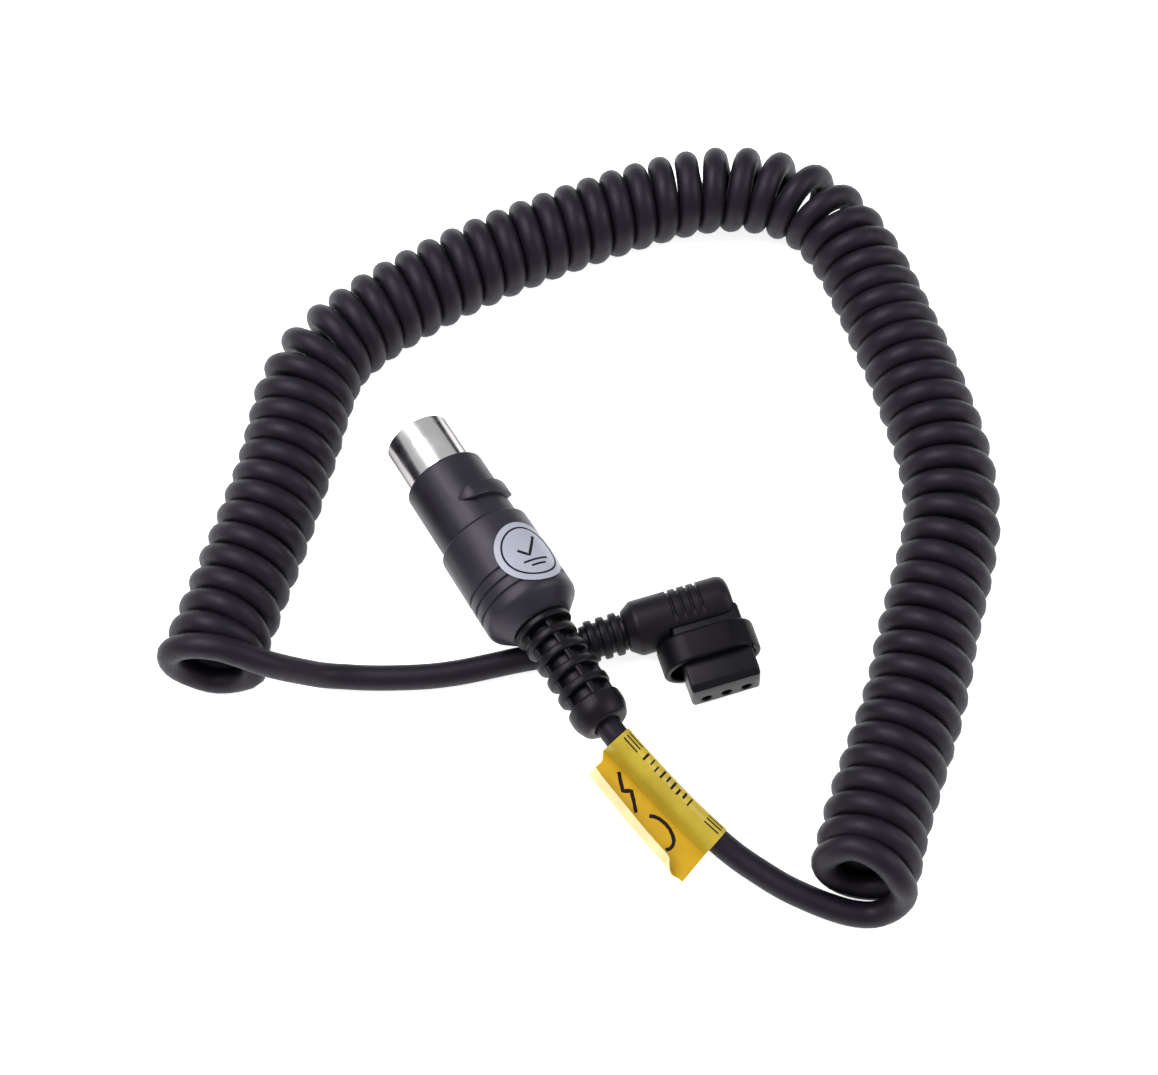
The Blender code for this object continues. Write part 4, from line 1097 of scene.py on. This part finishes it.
def make_label(materials):
    stations = label_stations()
    bm = bmesh.new()
    layers = ([], [])
    columns = FLAG_COLUMNS + 1
    for index, (centre, left, up) in enumerate(stations):
        share = index / (len(stations) - 1)
        line = label_section(share)
        backward = left.cross(up)
        if backward.y > 0.0:
            backward = -backward
        for layer, offset in zip(layers, (-LABEL_FILM / 2.0, LABEL_FILM / 2.0)):
            row = []
            for column, point in enumerate(offset_line(line, offset)):
                out = max(columns - column, column - (len(line) - columns), 0)
                notch = backward * set_back(share, out * COLUMN_STEP)
                row.append(bm.verts.new(centre + left * point.x + up * point.y + notch))
            layer.append(row)
    outer, inner = layers
    last = len(outer[0]) - columns
    for layer in layers:
        for index in range(len(layer) - 1):
            for step in range(len(layer[0]) - 1):
                near, far = layer[index], layer[index + 1]
                face = bm.faces.new((near[step], near[step + 1], far[step + 1], far[step]))
                face.material_index = 1 if step < columns - 1 else (2 if step >= last else 0)
    close_rims(bm, outer, inner)
    label = add_piece("label_film", bm, Matrix.Identity(4), materials["label"], 60.0)
    # Material 1, on the flag's upper layer, is the wrap's film with painted shade.
    label.data.materials.append(materials["flag"])
    # Material 2, on the flag's lower layer, is the wrap's film with a painted highlight.
    label.data.materials.append(materials["flag_lower_painted_highlight"])
    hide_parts("label_flag")
    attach(label, "cable")
    return [label, make_label_print(stations, materials)]


def station_at(stations, share):
    index = min(max(share, 0.0), 1.0) * (len(stations) - 1)
    low = min(int(index), len(stations) - 2)
    part = index - low
    return [stations[low][item].lerp(stations[low + 1][item], part) for item in range(3)]


def make_label_print(stations, materials):
    """Generic marks: guide lines and a row of bars on the wrap, a bolt and an arc on the flag."""
    length = sum((stations[index][0] - stations[index - 1][0]).length for index in range(1, len(stations)))

    def on_wrap(across, along, height):
        centre, left, up = station_at(stations, along / length)
        angle = 90.0 + math.degrees(across / LABEL_RADIUS)
        point = wrap_point(angle, LABEL_RADIUS + LABEL_FILM / 2.0 + height)
        return centre + left * point.x + up * point.y

    def on_flag(across, along, height):
        share = along / length
        centre, left, up = station_at(stations, share)
        line = offset_line(flag_profile(share), LAYER_GAP + LABEL_FILM / 2.0 + height)
        step = (line[1] - line[0]).length
        index = min(max(across / step, 0.0), len(line) - 1.01)
        point = line[int(index)].lerp(line[int(index) + 1], index - int(index))
        return centre + left * point.x + up * point.y

    bm = bmesh.new()
    for start in (0.7, length - 4.4):
        for across in (0.25, 1.1, 1.95):
            rows = stroke_rows(((across, start), (across, start + 3.7)), 0.27, 12)
            sheet_patch(bm, rows, -0.01, INK, on_wrap)
    for index in range(9):
        along = 6.1 + index * 1.45
        near = 0.1 + 0.4 * (index % 3 == 1)
        far = 2.0 - 0.5 * (index % 4 == 2)
        sheet_patch(bm, stroke_rows(((near, along), (far, along)), 0.42, 6), -0.01, INK, on_wrap)
    bolt = ((0.8, 4.8), (2.9, 7.7), (1.5, 8.8), (3.9, 12.2))
    arc = [(3.6 - 2.5 * math.cos(math.radians(angle)), 17.4 + 3.6 * math.sin(math.radians(angle)))
           for angle in range(-60, 121, 20)]
    sheet_patch(bm, stroke_rows(bolt, 0.75, 5), -0.01, INK, on_flag)
    sheet_patch(bm, stroke_rows(arc, 0.75, 2), -0.01, INK, on_flag)
    marks = add_piece("label_print", bm, Matrix.Identity(4), materials["ink"], 50.0)
    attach(marks, "cable")
    return marks


# ---------------------------------------------------------------- right-angle plug

def box_mesh(low, high, bevel=0.0, segments=3):
    bm = bmesh.new()
    made = bmesh.ops.create_cube(bm, size=1.0)
    for corner in made["verts"]:
        for axis in range(3):
            corner.co[axis] = low[axis] if corner.co[axis] < 0.0 else high[axis]
    if bevel > 0.0:
        bmesh.ops.bevel(bm, geom=list(bm.edges), offset=bevel, segments=segments, profile=0.5, affect="EDGES")
    return bm


def insert_room(front, back):
    """The contact block's room in the pieces round it."""
    half = INSERT_WIDTH / 2.0 + INSERT_GAP
    tall = INSERT_HEIGHT / 2.0 + INSERT_GAP
    return box_mesh((INSERT_CENTRE - half, -front, -tall), (INSERT_CENTRE + half, -back, tall))


def make_elbow_body(elbow, materials):
    r, end = ELBOW_RADIUS, ELBOW_LENGTH
    material = materials["elbow"]
    bm = bmesh.new()
    revolve(bm, fillet((
        (0.0, 0.0, 0.0), (0.0, 3.9, 0.3), (2.1, r, 0.5), (end, r, 2.3), (end, 0.0, 0.0),
    ), 8), 96, "X")
    body = raw_piece("elbow_barrel", bm, material)
    for centre in ELBOW_GROOVES:
        boolean(body, raw_piece("groove", groove_mesh(centre), material), "DIFFERENCE")
    neck = box_mesh((8.0, -6.9, -3.1), (19.8, -1.0, 3.1), 1.0, 4)
    boolean(body, raw_piece("neck", neck, material), "UNION")
    boolean(body, raw_piece("pocket", insert_room(7.0, 1.6), material), "DIFFERENCE")
    bm = bmesh.new()
    revolve(bm, (
        (-1.0, 0.0), (-1.0, 2.85), (1.2, 2.85), (1.2, 3.2), (end - 1.5, 3.2), (end - 1.5, 0.0),
    ), 48, "X")
    boolean(body, raw_piece("bore", bm, material), "DIFFERENCE")
    settle(body, elbow)
    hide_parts("elbow_body")
    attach(body, "cable")
    return body


def groove_mesh(centre):
    """Short groove over the top and back of the barrel, fading out at both ends."""
    bm = bmesh.new()
    half = 0.42
    rings = []
    for step in range(15):
        share = step / 14.0
        angle = math.radians(GROOVE_FROM_DEG + GROOVE_SWEEP_DEG * share + GROOVE_NUDGE_DEG)
        fade = smooth_step(share / GROOVE_FADE) * smooth_step((1.0 - share) / GROOVE_FADE)
        depth = GROOVE_CUT * fade - 0.03
        ring = []
        for along, radius in (
            (centre - half, ELBOW_RADIUS + 0.6), (centre + half, ELBOW_RADIUS + 0.6),
            (centre + half * 0.8, ELBOW_RADIUS - depth * 0.6), (centre + half * 0.4, ELBOW_RADIUS - depth),
            (centre - half * 0.4, ELBOW_RADIUS - depth), (centre - half * 0.8, ELBOW_RADIUS - depth * 0.6),
        ):
            ring.append(bm.verts.new(axis_point("X", along, radius, angle)))
        rings.append(ring)
    loft(bm, rings)
    return bm


def make_elbow_boot(elbow, materials):
    length = ELBOW_BOOT_LENGTH
    corners = [(-0.3, CORD_BORE, 0.0), (-0.3, 3.6, 0.1)]
    for index in range(3):
        centre = -1.75 - index * ELBOW_RING_PITCH
        radius = ELBOW_RING_RADIUS - 0.06 * index
        corners += [
            (centre + 0.78, 3.35, 0.12), (centre + 0.72, radius, 0.35), (centre - 0.72, radius, 0.35),
            (centre - 0.78, 3.35, 0.12),
        ]
    corners += [(-length + 0.1, 3.3, 0.25), (-length, CORD_BORE, 0.1)]
    bm = bmesh.new()
    revolve(bm, fillet(corners, 5), 72, "X")
    boot = add_piece("ribbed_boot", bm, elbow, materials["boot"])
    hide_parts("elbow_boot")
    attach(boot, "cable")
    return boot


def stadium(width, height, steps=20):
    radius = height / 2.0
    straight = width / 2.0 - radius
    points = []
    for centre, start in ((straight, -math.pi / 2.0), (-straight, math.pi / 2.0)):
        for step in range(steps + 1):
            angle = start + math.pi * step / steps
            points.append((centre + radius * math.cos(angle), radius * math.sin(angle)))
    return points


def make_skirt(elbow, materials):
    """Hood round the contact block: a stadium tube with a rolled rim, closed at its back."""
    wall = SKIRT_WALL
    levels = fillet((
        (SKIRT_BACK, 2.5, 0.0), (SKIRT_BACK, 0.0, 0.9), (SKIRT_FRONT, 0.0, 0.55), (SKIRT_FRONT, wall, 0.45),
        (SKIRT_BACK + 1.5, wall, 0.2), (SKIRT_BACK + 1.5, 2.5, 0.0),
    ), 6)
    bm = bmesh.new()
    loops = []
    for depth, inset in levels:
        outline = stadium(SKIRT_WIDTH - 2.0 * inset, SKIRT_HEIGHT - 2.0 * inset)
        loops.append([bm.verts.new((SKIRT_CENTRE + x, -depth, z)) for x, z in outline])
    loft(bm, loops)
    skirt = raw_piece("contact_hood", bm, materials["skirt"])
    boolean(skirt, raw_piece("slot", insert_room(SKIRT_FRONT, 2.0), materials["skirt"]), "DIFFERENCE")
    settle(skirt, elbow)
    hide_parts("elbow_skirt")
    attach(skirt, "cable")
    return skirt


def make_insert(elbow, materials):
    """Contact block with a chamfered upper front edge and three countersunk holes."""
    half = INSERT_WIDTH / 2.0
    tall = INSERT_HEIGHT / 2.0
    outline = (
        (-INSERT_BACK, -tall), (-INSERT_BACK, tall), (-INSERT_FRONT + 1.2, tall),
        (-INSERT_FRONT, tall - 0.9), (-INSERT_FRONT, -tall),
    )
    bm = bmesh.new()
    left = [bm.verts.new((INSERT_CENTRE - half, y, z)) for y, z in outline]
    right = [bm.verts.new((INSERT_CENTRE + half, y, z)) for y, z in outline]
    join_loops(bm, left, right)
    bm.faces.new(left)
    bm.faces.new(right)
    sides = [edge for edge in bm.edges if abs(edge.verts[0].co.x - edge.verts[1].co.x) < 0.1]
    bmesh.ops.bevel(bm, geom=sides, offset=0.7, segments=5, profile=0.5, affect="EDGES")
    front = [edge for edge in bm.edges if edge.calc_face_angle(0.0) > 0.5]
    bmesh.ops.bevel(bm, geom=front, offset=0.14, segments=2, profile=0.5, affect="EDGES")
    insert = raw_piece("contact_block", bm, materials["insert"])
    for offset in (-1.0, 0.0, 1.0):
        bm = bmesh.new()
        revolve(bm, (
            (-INSERT_FRONT - 1.0, 0.0), (-INSERT_FRONT - 1.0, CONTACT_HOLE + COUNTERSINK),
            (-INSERT_FRONT, CONTACT_HOLE + COUNTERSINK), (-INSERT_FRONT + 0.22, CONTACT_HOLE),
            (-INSERT_BACK + 1.0, CONTACT_HOLE), (-INSERT_BACK + 1.0, 0.0),
        ), 36)
        middle = (INSERT_CENTRE + offset * CONTACT_PITCH, 0.0, -CONTACT_DROP)
        bmesh.ops.translate(bm, verts=bm.verts, vec=middle)
        boolean(insert, raw_piece("hole", bm, materials["insert"]), "DIFFERENCE")
    settle(insert, elbow)
    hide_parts("socket_insert")
    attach(insert, "cable")
    return insert


# ---------------------------------------------------------------- the whole object

def build():
    materials = make_materials()
    make_camera()
    make_studio()
    plug = plug_frame()
    elbow = elbow_frame()
    line = cord_line(plug, elbow)
    cord = make_cord(line, materials["cord"])
    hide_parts("cord_coil", "cord_lead_pack", "cord_lead_flash")
    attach(cord, "cable")
    make_shell(plug, materials)
    make_collar(plug, materials)
    make_body(plug, materials)
    make_boot(plug, materials)
    make_sticker(plug, materials)
    label = make_label(materials)
    end_pieces = [
        make_elbow_body(elbow, materials), make_elbow_boot(elbow, materials),
        make_skirt(elbow, materials), make_insert(elbow, materials),
    ]
    inner = ["socket_contact_%d" % (index + 1) for index in range(3)]
    inner += ["elbow_conductor_%d" % (index + 1) for index in range(3)]
    dress_inner_nodes(materials)
    print("cord length", line_length(line))


build()
